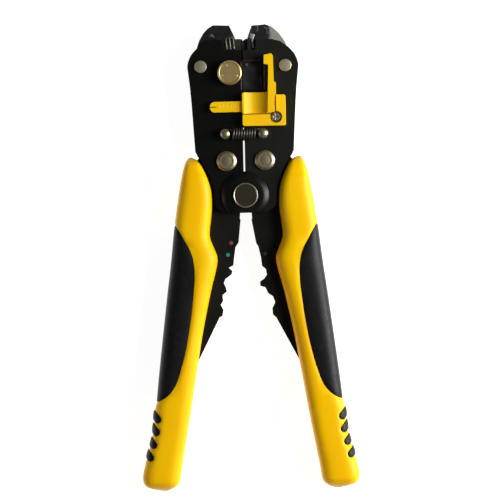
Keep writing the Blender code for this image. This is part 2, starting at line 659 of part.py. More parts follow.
left_core = make_core(-1, "left_handle_core", CRIMP_LEFT, left_handle)
right_core = make_core(1, "right_handle_core", CRIMP_RIGHT, right_handle)
make_grip(-1, "left", CRIMP_LEFT, left_handle)
make_grip(1, "right", CRIMP_RIGHT, right_handle)


def make_dot(name, core, center, material, axis):
    """A spot of enamel in a shallow pocket that marks a crimping die."""
    cut(core, round_cutter(f"{name}_pocket", center, 1.3, 0.9, 3, 20))
    slab(name, [circle(center, 1.0, 16)], 1.2, 1.6, material, axis)


make_dot("red_die_mark", left_core, (-6.8, -20.9), red_enamel, left_handle)
make_dot("blue_die_mark", left_core, (-8.3, -26.2), blue_enamel, left_handle)
make_dot("grey_die_mark", right_core, (8.2, -26.0), grey_enamel, right_handle)


# ---------------------------------------------------------------- springs

def extension_spring(z, face):
    """A close coil along X between the two posts, with an eye round each post's neck."""
    y = SPRING_POST[1]
    eye_r, eye_steps = POST_NECK_R + GAP + WIRE_R, 7
    points = []
    for k in range(eye_steps + 1):
        t = math.radians(90 + 300 * (1 - k / eye_steps))
        points.append((-SPRING_POST[0] + eye_r * math.cos(t), y + eye_r * math.sin(t), z))
    points.append((-COIL_HALF_LENGTH - 0.9, y + 1.9, z))
    steps = 7
    for k in range(COIL_TURNS * steps + 1):
        t = 2 * math.pi * k / steps
        x = -COIL_HALF_LENGTH + 2 * COIL_HALF_LENGTH * k / (COIL_TURNS * steps)
        points.append((x, y + COIL_R * math.cos(t), z + face * COIL_R * math.sin(t)))
    points.append((COIL_HALF_LENGTH + 0.9, y + 1.9, z))
    for k in range(eye_steps + 1):
        t = math.radians(90 - 300 * k / eye_steps)
        points.append((SPRING_POST[0] + eye_r * math.cos(t), y + eye_r * math.sin(t), z))
    return points


wire_piece("front_spring", extension_spring(FRONT_SPRING_Z, 1), WIRE_R, spring_steel, left_head)
wire_piece("back_spring", extension_spring(BACK_SPRING_Z, -1), WIRE_R, spring_steel, left_head)


def torsion_spring():
    """A short coil round the main rivet behind the cores, with a leg along each handle core."""
    radius, top, bottom = 5.2, -2.25, -3.85
    first, last, steps = math.radians(215), math.radians(-395), 20
    points = [(-14.0, -13.5, top), (-9.5, -9.0, top)]
    for k in range(steps + 1):
        t = first + (last - first) * k / steps
        points.append((radius * math.cos(t), radius * math.sin(t), top + (bottom - top) * k / steps))
    points += [(9.5, -9.0, bottom), (14.0, -13.5, bottom)]
    return points


wire_piece("handle_torsion_spring", torsion_spring(), 0.4, spring_steel, left_handle)


# ---------------------------------------------------------------- adjusting knob

turned("tension_knob", [(0, 11.4), (4.6, 11.4), (4.6, 11.8), (5.1, 11.8), (5.5, 11.4), (5.5, 7.2), (5.2, 6.9),
                        (0, 6.9)], KNOB, brass, knob_axis, 36)
turned("tension_shaft", [(0, PLATE_OUT), (KNOB_SHAFT_R, PLATE_OUT), (KNOB_SHAFT_R, 4.4), (CAM_R, 4.0),
                         (CAM_R, -4.0), (0, -4.0)], KNOB, brass, knob_axis, 20)


# ---------------------------------------------------------------- wire length stop

def rounded_box(x0, y0, x1, y1, radius=0.8, steps=3):
    corners = (((x1 - radius, y0 + radius), -90), ((x1 - radius, y1 - radius), 0),
               ((x0 + radius, y1 - radius), 90), ((x0 + radius, y0 + radius), 180))
    points = []
    for center, start in corners:
        points += arc(center, radius, start, start + 90, steps)
    return points


guide = slab("stop_guide", [rounded_box(-0.6, 30.5, 18.5, 44.1)], TRIM_Z, 11.4, yellow_plastic, right_head)
slide_space = [(-3.0, 35.5), (14.3, 35.5), (14.3, 47.0), (-3.0, 47.0)]
cut(guide, slab_cutter("slide_space", slide_space, TRIM_Z + 0.9, 14))
screw_space = SCREW_R + GAP
cut(guide, round_cutter("stop_screw_bore", STOP_SCREW, screw_space, 0, THROUGH))
cut(guide, round_cutter("stop_screw_seat", STOP_SCREW, 2.3, 9.3, THROUGH))
cut(bpy.data.objects["right_front_plate"], round_cutter("stop_screw_thread", STOP_SCREW, screw_space, 0, 9))

screw_profile = [(0, 10.9), (1.7, 10.9), (2.0, 10.6), (2.0, 9.6), (SCREW_R, 9.6), (SCREW_R, 4.9), (0, 4.9)]
screw = turned("stop_screw", screw_profile, STOP_SCREW, rivet_steel, right_head)
for number, (width, height) in enumerate(((2.4, 0.55), (0.55, 2.4))):
    x, y = STOP_SCREW
    bar = [(x - width / 2, y - height / 2), (x + width / 2, y - height / 2),
           (x + width / 2, y + height / 2), (x - width / 2, y + height / 2)]
    cut(screw, slab_cutter(f"screw_recess_{number}", bar, 10.2, 12))

SLIDE_LOW = TRIM_Z + 0.9 + GAP
slider_body = rounded_box(-0.6, 35.9, 13.7, 45.3)
slider = slab("stop_slider", [slider_body], SLIDE_LOW, 11.2, yellow_plastic, stop_axis)
finger_dip = round_cutter("finger_dip", (0, 0), 7.2, 0, 12, 48)
finger_dip.rotation_euler = (math.pi / 2, 0, 0)
finger_dip.location = (5.2 * MM, 42.0 * MM, 16.4 * MM)
cut(slider, finger_dip)
bar_outline = [(1.0, 36.8), (1.0, 41.5), (-13.2, 41.5), (-14.3, 40.9), (-14.9, 39.7), (-14.8, 39.3),
               (-12.0, 39.25), (-12.0, 38.95), (-14.8, 38.9), (-14.9, 38.5), (-14.3, 37.3), (-13.2, 36.8)]
combine(slider, slab_cutter("scale_bar", bar_outline, SLIDE_LOW, 9.9), "UNION")
arm_outline = [(10.5, 36.4), (13.6, 36.4), (13.6, 43.0), (14.4, 44.6), (14.4, 49.4), (13.5, 49.9),
               (13.3, 61.3), (12.6, 62.3), (9.3, 61.6), (9.2, 57.7), (11.2, 57.3)]
combine(slider, slab_cutter("stop_arm", arm_outline, SLIDE_LOW + 0.2, 12.6), "UNION")
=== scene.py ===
import json
import math

import bmesh
import bpy
import numpy as np
from mathutils import Matrix, Vector


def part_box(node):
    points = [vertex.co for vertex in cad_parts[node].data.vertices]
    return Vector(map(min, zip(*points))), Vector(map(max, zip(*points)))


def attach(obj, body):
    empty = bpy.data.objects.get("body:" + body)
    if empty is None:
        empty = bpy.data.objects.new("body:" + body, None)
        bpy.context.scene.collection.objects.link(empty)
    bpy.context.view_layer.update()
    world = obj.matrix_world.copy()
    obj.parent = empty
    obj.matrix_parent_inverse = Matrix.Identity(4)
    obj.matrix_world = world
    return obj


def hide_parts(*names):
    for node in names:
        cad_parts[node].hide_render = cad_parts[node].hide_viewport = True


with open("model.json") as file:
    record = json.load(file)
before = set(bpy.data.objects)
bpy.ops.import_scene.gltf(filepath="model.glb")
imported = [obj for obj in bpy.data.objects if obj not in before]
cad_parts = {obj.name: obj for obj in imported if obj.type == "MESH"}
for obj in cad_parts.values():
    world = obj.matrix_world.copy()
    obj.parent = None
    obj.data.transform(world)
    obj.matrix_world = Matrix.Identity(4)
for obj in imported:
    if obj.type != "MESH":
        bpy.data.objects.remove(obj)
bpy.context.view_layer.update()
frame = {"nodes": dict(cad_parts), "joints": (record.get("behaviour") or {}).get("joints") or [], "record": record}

print("frame loaded:", len(frame["nodes"]), "nodes")

# Pieces are drawn in millimetres from the main rivet's axis and the middle of the tool's thickness.
mm = 0.001
hinges = {joint["name"]: joint["pos_m"] for joint in frame["joints"] if "pos_m" in joint}
rivetAxis = Vector(hinges["left_handle_squeeze"])
toWorld = Matrix.Translation(rivetAxis) @ Matrix.Scale(mm, 4)


def centreOf(node):
    # where a turned node's axis is, in the tool's own millimetres
    low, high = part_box(node)
    middle = (low + high) / 2 - rivetAxis
    return middle.x / mm, middle.y / mm


# Materials. A wrapped socket takes part in plain arithmetic.

class Value:
    def __init__(self, finish, socket):
        self.finish = finish
        self.socket = socket

    def maths(self, operation, first, second=None):
        sockets = {0: first} if second is None else {0: first, 1: second}
        return self.finish.node("ShaderNodeMath", {"operation": operation}, sockets).out(0)

    def __add__(self, other):
        return self.maths("ADD", self, other)

    def __sub__(self, other):
        return self.maths("SUBTRACT", self, other)

    def __rsub__(self, other):
        return self.maths("SUBTRACT", other, self)

    def __mul__(self, other):
        return self.maths("MULTIPLY", self, other)

    def __truediv__(self, other):
        return self.maths("DIVIDE", self, other)

    def ramp(self, low, high):  # 0 below low, 1 above high, smooth between
        settings = {"interpolation_type": "SMOOTHSTEP"}
        return self.finish.node("ShaderNodeMapRange", settings,
                                {"Value": self, "From Min": low, "From Max": high}).out("Result")

    def wave(self):
        return self.maths("SINE", self)

    __radd__ = __add__
    __rmul__ = __mul__


class Made:
    def __init__(self, finish, node):
        self.finish = finish
        self.node = node

    def out(self, name):
        return Value(self.finish, self.node.outputs[name])


class Finish:
    def __init__(self, name, roughness, metallic=0.0, **fixed):
        self.material = bpy.data.materials.new(name)
        self.material.use_nodes = True
        self.tree = self.material.node_tree
        self.shader = self.tree.nodes["Principled BSDF"]
        self.set("Roughness", roughness)
        self.set("Metallic", metallic)
        for socket, value in fixed.items():
            self.set(socket.replace("_", " "), value)
        self.place = self.node("ShaderNodeTexCoord", {}, {}).out("Object")

    def node(self, kind, settings, values):
        made = self.tree.nodes.new(kind)
        for key, value in settings.items():
            setattr(made, key, value)
        for key, value in values.items():
            self.feed(made.inputs[key], value)
        return Made(self, made)

    def feed(self, socket, value):
        if isinstance(value, Value):
            self.tree.links.new(value.socket, socket)
        elif isinstance(value, tuple) and len(value) == 3 and socket.type == "RGBA":
            socket.default_value = (*value, 1)
        else:
            socket.default_value = value

    def set(self, name, value):
        self.feed(self.shader.inputs[name], value)

    def noise(self, size, detail=3.0, stretch=(1, 1, 1), roughness=0.5):
        # size is that of one blotch, in millimetres
        scaled = self.node("ShaderNodeMapping", {},
                           {"Vector": self.place, "Scale": stretch}).out("Vector")
        return self.node("ShaderNodeTexNoise", {},
                         {"Vector": scaled, "Scale": 1 / (size * mm),
                          "Detail": detail, "Roughness": roughness}).out("Fac")

    def cells(self, size):
        return self.node("ShaderNodeTexVoronoi", {"feature": "F1"},
                         {"Vector": self.place, "Scale": 1 / (size * mm)}).out("Distance")

    def mix(self, factor, low, high):
        # sockets 6, 7 and 2 are the mix node's two colours and its result
        return self.node("ShaderNodeMix", {"data_type": "RGBA"}, {0: factor, 6: low, 7: high}).out(2)

    def relief(self, height, depth, strength=1.0):
        # depth of the relief in millimetres
        bump = self.node("ShaderNodeBump", {},
                         {"Height": height, "Distance": depth * mm, "Strength": strength}).out("Normal")
        self.set("Normal", bump)

    def fromAxis(self, center):
        # distance from an upright axis, in millimetres
        moved = self.node("ShaderNodeVectorMath", {"operation": "SUBTRACT"},
                          {0: self.place, 1: tuple(toWorld @ Vector((*center, 0)))}).out("Vector")
        flat = self.node("ShaderNodeVectorMath", {"operation": "MULTIPLY"},
                         {0: moved, 1: (1 / mm, 1 / mm, 0)}).out("Vector")
        return self.node("ShaderNodeVectorMath", {"operation": "LENGTH"}, {0: flat}).out("Value")


def blackPaint(name, roughness, tone):
    # near black, with fine scratches along the tool and a few pale specks
    finish = Finish(name, roughness, Specular_IOR_Level=0.25)
    blotches = finish.noise(9, 4)
    scratches = finish.noise(1.2, 2, (1, 0.06, 1)).ramp(0.68, 0.74)
    specks = finish.noise(0.35, 2).ramp(0.71, 0.76)
    dark = (tone, tone, tone * 0.8)
    worn = (tone * 4.2, tone * 4.1, tone * 3.6)
    finish.set("Base Color", finish.mix(scratches * 0.35 + specks * 0.4, dark, worn))
    finish.set("Roughness", roughness + blotches * 0.16 + scratches * 0.1)
    finish.relief(finish.noise(0.9, 2) + specks * 0.5, 0.012, 0.5)
    return finish.material


def castSteel(name, roughness, tone, highlightFrom=None):
    # the last argument is how far to the right, in millimetres, the steel is painted lighter as a highlight on the
    # shoulder that faces the light
    finish = Finish(name, roughness, 0.85)
    blotches = finish.noise(4, 5)
    pits = finish.noise(0.5, 3).ramp(0.62, 0.75)
    dark = (tone, tone, tone * 1.04)
    light = (tone * 2.6, tone * 2.55, tone * 2.5)
    surface = finish.mix(blotches.ramp(0.35, 0.75) * 0.5 + pits * 0.3, dark, light)
    # painted highlight: pale steel from that distance outwards, with a ragged edge
    if highlightFrom:
        across = finish.node("ShaderNodeSeparateXYZ", {}, {"Vector": finish.place}).out("X") / mm
        paintedHighlight = (across + blotches * 2).ramp(highlightFrom, highlightFrom + 1.6)
        surface = finish.mix(paintedHighlight * (1 - pits * 0.4), surface, (0.5, 0.48, 0.43))
    finish.set("Base Color", surface)
    finish.set("Roughness", roughness + blotches * 0.2 - pits * 0.06)
    finish.relief(blotches * 0.6 + finish.noise(0.45, 3) * 0.5, 0.035, 0.6)
    return finish.material


def turnedSteel(name, center, tone, roughness, ring=0.22):
    # bright steel faced on a lathe, with fine rings about its own axis
    finish = Finish(name, roughness, 1.0)
    radius = finish.fromAxis(center)
    rings = (radius * (2 * math.pi / ring)).wave() * 0.5 + 0.5
    marks = finish.noise(1.6, 4)
    scuffs = finish.noise(0.5, 2, (1, 0.12, 1)).ramp(0.62, 0.72)
    dull = tuple(c * 0.72 for c in tone)
    finish.set("Base Color", finish.mix(marks.ramp(0.3, 0.75) * 0.8 + scuffs * 0.2, tone, dull))
    finish.set("Roughness", roughness + marks * 0.14 + rings * 0.05)
    finish.relief(rings * 0.5 + marks * 0.6, 0.006, 0.7)
    return finish.material


def plainSteel(name, tone, roughness, stretch=(1, 0.08, 1)):
    # bright steel with its grain along the tool, unless the stretch says otherwise
    finish = Finish(name, roughness, 1.0)
    grain = finish.noise(0.7, 3, stretch)
    smudges = finish.noise(3, 3)
    finish.set("Base Color", finish.mix(smudges.ramp(0.3, 0.7), tone, tuple(c * 0.7 for c in tone)))
    finish.set("Roughness", roughness + grain * 0.18)
    finish.relief(grain, 0.01, 0.6)
    return finish.material


def yellowPlastic(name, tone, roughness, grain=0.5):
    # moulded plastic, slightly soiled; grain is the size of its pebbling in millimetres
    finish = Finish(name, roughness, Specular_IOR_Level=0.13, Subsurface_Weight=0.05,
                    Subsurface_Scale=0.002)
    flow = finish.noise(14, 3, (1, 0.3, 1))
    dirt = finish.noise(1.1, 4).ramp(0.62, 0.82)
    deep = (tone[0] * 0.97, tone[1] * 0.88, tone[2])
    soiled = (tone[0] * 0.8, tone[1] * 0.7, 0.01)
    clean = finish.mix(flow.ramp(0.3, 0.7), tone, deep)
    finish.set("Base Color", finish.mix(dirt * 0.12, clean, soiled))
    finish.set("Roughness", roughness + flow * 0.1 + dirt * 0.12)
    finish.relief(finish.noise(grain, 3) + flow * 0.6, 0.012, 0.5)
    return finish.material


def softRubber(name, tone, roughness):
    # pebbled black rubber with dust lying on it
    finish = Finish(name, roughness, Specular_IOR_Level=0.2)
    grain = finish.cells(0.55)
    fine = finish.noise(0.28, 3)
    dust = finish.noise(2.2, 5).ramp(0.5, 0.85)
    dark = (tone, tone, tone * 0.95)
    dusty = (tone * 3, tone * 2.9, tone * 2.5)
    finish.set("Base Color", finish.mix(dust * 0.6 + grain * 0.25, dark, dusty))
    finish.set("Roughness", roughness + dust * 0.14 - grain * 0.1)
    finish.relief(grain * 0.8 + fine * 0.4, 0.06, 0.75)
    return finish.material


def enamelSpot(name, tone, center, pale):
    # a dab of enamel, paler in its middle where it is thin
    finish = Finish(name, 0.35, Coat_Weight=0.3)
    dabRadius = 1.1
    middle = 1 - (finish.fromAxis(center) / dabRadius).ramp(0.2, 1.0)
    mottle = finish.noise(0.4, 3).ramp(0.3, 0.75)
    finish.set("Base Color", finish.mix(middle * 0.7 + mottle * 0.2, tone, pale))
    finish.set("Roughness", 0.3 + mottle * 0.2)
    finish.relief(mottle, 0.03)
    return finish.material


def patchyMark(name, tone):
    # a flat colour rubbed through in patches: for print and rubbed marks, and for painted highlights and a painted
    # shadow
    finish = Finish(name, 0.5, Specular_IOR_Level=0.3)
    patches = finish.noise(1.4, 4).ramp(0.35, 0.6)
    finish.set("Base Color", finish.mix(patches, tuple(c * 0.35 for c in tone), tone))
    finish.set("Roughness", 0.4 + patches * 0.2)
    finish.relief(patches, 0.01)
    return finish.material


paint = blackPaint("plate black", 0.2, 0.0035)
# the right front plate has the same black paint in a lighter tone: painted light from the key on the right
litRightPaint = blackPaint("right plate black painted lighter as lit", 0.26, 0.009)
bossPaint = blackPaint("boss black", 0.24, 0.0035)
corePaint = blackPaint("core black", 0.34, 0.0035)
jawSteel = castSteel("jaw steel", 0.28, 0.032)
highlitJawSteel = castSteel("jaw steel with painted highlight", 0.34, 0.032, 12.2)
lowerJawSteel = castSteel("lower jaw steel", 0.36, 0.04)
bladeSteel = plainSteel("blade steel", (0.75, 0.73, 0.66), 0.3)
pinSteel = plainSteel("pin steel", (0.62, 0.58, 0.5), 0.3)
springSteel = plainSteel("spring steel", (0.12, 0.115, 0.1), 0.4, (1, 1, 1))
stopYellow = yellowPlastic("stop yellow", (0.98, 0.62, 0.004), 0.34, 0.35)
gripYellow = yellowPlastic("grip yellow", (1.0, 0.58, 0.0), 0.33)
finSteel = plainSteel("fin steel", (0.22, 0.2, 0.15), 0.36)
markAndHighlightSteel = patchyMark("rubbed mark and painted edge highlight", (0.16, 0.155, 0.14))
seatShadow = patchyMark("seat shade", (0.05, 0.025, 0.004))
redInk = patchyMark("red ink", (0.11, 0.03, 0.024))
paleYellow = yellowPlastic("bar mark yellow", (1.0, 0.78, 0.14), 0.3)
inlayRubber = softRubber("inlay rubber", 0.0035, 0.5)
print("materials made")


# Meshes.

def newPiece(name, mesh, material, body, slot, *nodes):
    # a finished piece: its place goes into its mesh, and it stands for the nodes named
    mesh.transform(toWorld)
    mesh.materials.clear()
    mesh.materials.append(material)
    piece = bpy.data.objects.new(name, mesh)
    bpy.context.scene.collection.objects.link(piece)
    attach(piece, body)
    if nodes:
        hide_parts(*nodes)
    return piece


def plainMesh(piece, weld=1e-4):
    # the mesh as modifiers leave it, welded and facing outwards, and the object goes
    graph = bpy.context.evaluated_depsgraph_get()
    graph.update()
    mesh = bpy.data.meshes.new_from_object(piece.evaluated_get(graph))
    shape = bmesh.new()
    shape.from_mesh(mesh)
    bmesh.ops.remove_doubles(shape, verts=shape.verts, dist=weld)
    bmesh.ops.recalc_face_normals(shape, faces=shape.faces)
    shape.to_mesh(mesh)
    shape.free()
    bpy.data.objects.remove(piece)
    return mesh


def linked(name, data):
    piece = bpy.data.objects.new(name, data)
    bpy.context.scene.collection.objects.link(piece)
    return piece


def joined(*meshes):
    shape = bmesh.new()
    for mesh in meshes:
        shape.from_mesh(mesh)
    result = bpy.data.meshes.new("joined")
    shape.to_mesh(result)
    shape.free()
    return result


def smoothed(mesh, angle=35):
    mesh.shade_smooth()
    mesh.set_sharp_from_angle(angle=math.radians(angle))
    return mesh


def arc(center, radius, start, end, steps):
    turns = [math.radians(start + (end - start) * i / steps) for i in range(steps + 1)]
    return [(center[0] + radius * math.cos(t), center[1] + radius * math.sin(t)) for t in turns]


def smoothLine(points, steps):
    # a curve through the points, with its ends kept
    ends = [points[0], *points, points[-1]]
    line = []
    for i in range(1, len(ends) - 2):
        a, b, c, d = (Vector(p) for p in ends[i - 1:i + 3])
        for k in range(steps):
            t = k / steps
            line.append(tuple(0.5 * (2 * b + (c - a) * t + (2 * a - 5 * b + 4 * c - d) * t ** 2
                                     + (3 * b - a - 3 * c + d) * t ** 3)))
    return line + [tuple(points[-1])]


def slabMesh(outlines, low, high, edge=0.0):
    # a flat plate with rounded edges; the first outline is its edge and the others are holes
    curve = bpy.data.curves.new("slab", "CURVE")
    curve.dimensions = "2D"
    curve.fill_mode = "BOTH"
    curve.extrude = (high - low) / 2 - edge
    curve.bevel_depth = edge
    curve.bevel_resolution = 2
    curve.offset = -edge
    for points in outlines:
        spline = curve.splines.new("POLY")
        spline.points.add(len(points) - 1)
        for point, (x, y) in zip(spline.points, points):
            point.co = (x, y, 0, 1)
        spline.use_cyclic_u = True
    mesh = plainMesh(linked("slab", curve), 1e-3)
    mesh.transform(Matrix.Translation((0, 0, (high + low) / 2)))
    return smoothed(mesh)


def turnedMesh(profile, center, steps=96):
    # the profile is (radius, height) from its top to its foot
    mesh = bpy.data.meshes.new("turned")
    mesh.from_pydata([(r, 0, z) for r, z in profile], [(i, i + 1) for i in range(len(profile) - 1)], [])
    piece = linked("turned", mesh)
    screw = piece.modifiers.new("turned", "SCREW")
    screw.steps = screw.render_steps = steps
    screw.use_merge_vertices = True
    screw.merge_threshold = 1e-4
    mesh = plainMesh(piece)
    mesh.transform(Matrix.Translation((*center, 0)))
    return smoothed(mesh, 40)


def corner(radius, height, size, steps=5):
    # a rounded rim of a turned profile, from the flat above it to the side below it
    return [(radius - size + size * math.sin(t), height - size + size * math.cos(t))
            for t in [math.pi / 2 * i / steps for i in range(steps + 1)]]


def wireMesh(points, radius, sides=3):
    curve = bpy.data.curves.new("wire", "CURVE")
    curve.dimensions = "3D"
    curve.bevel_depth = radius
    curve.bevel_resolution = sides
    curve.use_fill_caps = True
    spline = curve.splines.new("POLY")
    spline.points.add(len(points) - 1)
    for point, place in zip(spline.points, points):
        point.co = (*place, 1)
    return smoothed(plainMesh(linked("wire", curve)), 50)


def carved(mesh, tool, operation):
    body, cutter = linked("body", mesh), linked("cutter", tool)
    change = body.modifiers.new("carve", "BOOLEAN")
    change.object = cutter
    change.operation = operation
    change.solver = "EXACT"
    result = plainMesh(body, 1e-5)
    bpy.data.objects.remove(cutter)
    return result


# Geometry node trees, with their inputs in millimetres.

class Tree:
    def __init__(self, name, inputs):
        self.group = bpy.data.node_groups.new(name, "GeometryNodeTree")
        face = self.group.interface
        self.keys = {}
        for title, kind in inputs.items():
            self.keys[title] = face.new_socket(title, in_out="INPUT", socket_type=kind).identifier
        face.new_socket("Geometry", in_out="OUTPUT", socket_type="NodeSocketGeometry")
        self.start = self.group.nodes.new("NodeGroupInput")

    def add(self, kind, settings=None, **sockets):
        made = self.group.nodes.new(kind)
        for key, value in (settings or {}).items():
            setattr(made, key, value)
        for key, value in sockets.items():
            self.feed(made.inputs[key.replace("_", " ")], value)
        return made

    def feed(self, socket, value):
        if isinstance(value, bpy.types.NodeSocket):
            self.group.links.new(value, socket)
        else:
            socket.default_value = value

    def sum(self, operation, first, second):
        made = self.group.nodes.new("ShaderNodeMath")
        made.operation = operation
        self.feed(made.inputs[0], first)
        self.feed(made.inputs[1], second)
        return made.outputs[0]

    def finish(self, geometry):
        real = self.add("GeometryNodeRealizeInstances", Geometry=geometry).outputs[0]
        painted = self.add("GeometryNodeSetMaterial", Geometry=real,
                           Material=self.start.outputs["Material"])
        end = self.group.nodes.new("NodeGroupOutput")
        self.group.links.new(painted.outputs[0], end.inputs[0])

    def mesh(self, **values):
        # runs the tree on an empty mesh and gives the plain result
        holder = linked("grown", bpy.data.meshes.new("grown"))
        grown = holder.modifiers.new("grown", "NODES")
        grown.node_group = self.group
        for title, value in values.items():
            grown[self.keys[title.replace("_", " ")]] = value
        return plainMesh(holder)


def coilTree():
    tree = Tree("coil along X", {"Turns": "NodeSocketFloat", "Length": "NodeSocketFloat",
                                 "Radius": "NodeSocketFloat", "Wire": "NodeSocketFloat",
                                 "Material": "NodeSocketMaterial"})
    given = tree.start.outputs
    spiral = tree.add("GeometryNodeCurveSpiral", Resolution=28, Rotations=given["Turns"],
                      Height=given["Length"])
    tree.feed(spiral.inputs["Start Radius"], given["Radius"])
    tree.feed(spiral.inputs["End Radius"], given["Radius"])
    laid = tree.add("GeometryNodeTransform", Geometry=spiral.outputs[0], Rotation=(0, math.pi / 2, 0))
    ring = tree.add("GeometryNodeCurvePrimitiveCircle", Resolution=12, Radius=given["Wire"])
    tube = tree.add("GeometryNodeCurveToMesh", Curve=laid.outputs[0])
    tree.feed(tube.inputs["Profile Curve"], ring.outputs[0])
    tree.feed(tube.inputs["Fill Caps"], True)
    tree.finish(tube.outputs[0])
    return tree


def knurlTree():
    # square bars standing on edge round a circle
    tree = Tree("knurl round Z", {"Count": "NodeSocketInt", "Radius": "NodeSocketFloat",
                                  "Bar": "NodeSocketFloat", "Height": "NodeSocketFloat",
                                  "Material": "NodeSocketMaterial"})
    given = tree.start.outputs
    circle = tree.add("GeometryNodeMeshCircle", Vertices=given["Count"], Radius=given["Radius"])
    size = tree.add("ShaderNodeCombineXYZ", X=given["Bar"], Y=given["Bar"], Z=given["Height"])
    bar = tree.add("GeometryNodeMeshCube", Size=size.outputs[0])
    edgeOn = tree.add("GeometryNodeTransform", Geometry=bar.outputs[0], Rotation=(0, 0, math.pi / 4))
    step = tree.sum("DIVIDE", 2 * math.pi, given["Count"])
    turn = tree.sum("MULTIPLY", tree.add("GeometryNodeInputIndex").outputs[0], step)
    facing = tree.add("ShaderNodeCombineXYZ", Z=turn)
    spread = tree.add("GeometryNodeInstanceOnPoints", Points=circle.outputs[0],
                      Instance=edgeOn.outputs[0], Rotation=facing.outputs[0])
    tree.finish(spread.outputs[0])
    return tree


def rowTree():
    # equal round bars side by side along X, each lying along Y
    tree = Tree("row of bars", {"Count": "NodeSocketInt", "Pitch": "NodeSocketFloat",
                                "Radius": "NodeSocketFloat", "Length": "NodeSocketFloat",
                                "Material": "NodeSocketMaterial"})
    given = tree.start.outputs
    offset = tree.add("ShaderNodeCombineXYZ", X=given["Pitch"])
    line = tree.add("GeometryNodeMeshLine", Count=given["Count"], Offset=offset.outputs[0])
    bar = tree.add("GeometryNodeMeshCylinder", Vertices=16, Radius=given["Radius"], Depth=given["Length"])
    laid = tree.add("GeometryNodeTransform", Geometry=bar.outputs[0], Rotation=(math.pi / 2, 0, 0))
    spread = tree.add("GeometryNodeInstanceOnPoints", Points=line.outputs[0],
                      Instance=laid.outputs[0])
    tree.finish(spread.outputs[0])
    return tree


coils, knurls, rows = coilTree(), knurlTree(), rowTree()
print("node trees made")


# Grips.

gripShape = {
    # edges seen from the front as (distance from the middle line, height), and half the thickness
    "outer": [(24.6, 17.3), (25.7, 16.4), (26.9, 13.6), (28.3, 8.3), (29.6, 1.0), (30.9, -7.0),
              (32.1, -15.5), (33.1, -24.3), (34.2, -33.3), (35.4, -42.0), (37.7, -60.0), (39.9, -78.0),
              (41.4, -91.0), (42.4, -95.0), (43.3, -104.0), (44.4, -109.0), (45.8, -113.5),
              (46.8, -118.0), (47.9, -122.5), (48.0, -125.6), (47.0, -128.0), (44.6, -129.3),
              (39.5, -130.2)],
    "inner": [(23.5, 17.3), (21.3, 16.4), (19.1, 13.6), (16.7, 8.3), (15.1, 3.0), (14.7, -2.3),
              (15.0, -6.7), (16.0, -14.0), (16.1, -18.5), (14.2, -23.6), (12.9, -27.6), (13.8, -33.3),
              (16.1, -42.0), (20.0, -60.0), (23.2, -78.0), (26.9, -100.0), (30.2, -118.0),
              (31.0, -123.0), (31.6, -126.4), (33.4, -128.8), (37.0, -130.2)],
    "thick": [(1.8, 17.3), (4.6, 16.4), (7.8, 14.0), (9.4, 9.0), (10.2, 2.0), (10.3, -60.0),
              (10.3, -124.5), (9.5, -127.2), (7.7, -129.0), (3.5, -130.2)],
    "halfThickness": 10.3,
    "ring": 80,           # points round a section
    "rows": 210,
    "crowding": 0.85,     # how much closer the rows lie at the two ends
    "squareness": 4.0,    # 2 is an ellipse and more is squarer
    "gap": 0.28,          # width of the seam between grip and rubber
    "seam": 0.35,         # how far the surfaces turn down at the seam
    "rubberSeam": 0.14,
    "seamWidth": 0.46875,
    "inlayLedge": 1.2,    # how far the floor of a seam reaches in under the rubber
    "ribLedge": 0.8,
    "web": 1.0,           # half the thickness of that floor
    "deep": 14,           # beyond the faces of the grip
    "flatAngle": 32,
}
inlayShape = {
    "edge": [(-33.5, -10.6), (-31.4, -13.2), (-27.6, -19.5), (-24.8, -24.8), (-23.5, -30.2),
             (-23.3, -36.0), (-23.8, -42.8), (-25.4, -55.6), (-27.6, -67.3), (-29.9, -75.8),
             (-32.5, -83.0), (-36.0, -87.6), (-40.6, -90.3), (-43.5, -91.2)],
    "beyond": [(-56.0, -95.0), (-56.0, -9.0)],   # corners outside the grip that close the outline
}
ribShape = {
    "heights": (-99.4, -105.0, -110.6, -116.2),
    "root": (1.7, 1.15),      # from the grip's outer edge, in and up
    "tip": (-3.6, 4.2),       # from the root
    "rootRadius": 1.6,
    "tipRadius": 1.4,
    "lean": 41,
    "pride": 0.45,            # how far the ribs stand out of the grip
}


def eased(points):
    # a curve through (value, height) points, read at even steps and evened out where it kinks
    step, reach, width = 0.1, 25, 11
    line = np.array(smoothLine(points, 8))[::-1]
    heights = np.arange(line[0, 1], line[-1, 1] + step / 2, step)
    values = np.interp(heights, line[:, 1], line[:, 0])
    weights = np.exp(-(np.arange(-reach, reach + 1) / width) ** 2)
    before = 2 * values[0] - values[reach:0:-1]
    after = 2 * values[-1] - values[-2:-reach - 2:-1]
    padded = np.concatenate([before, values, after])
    return heights, np.convolve(padded, weights / weights.sum(), "valid")


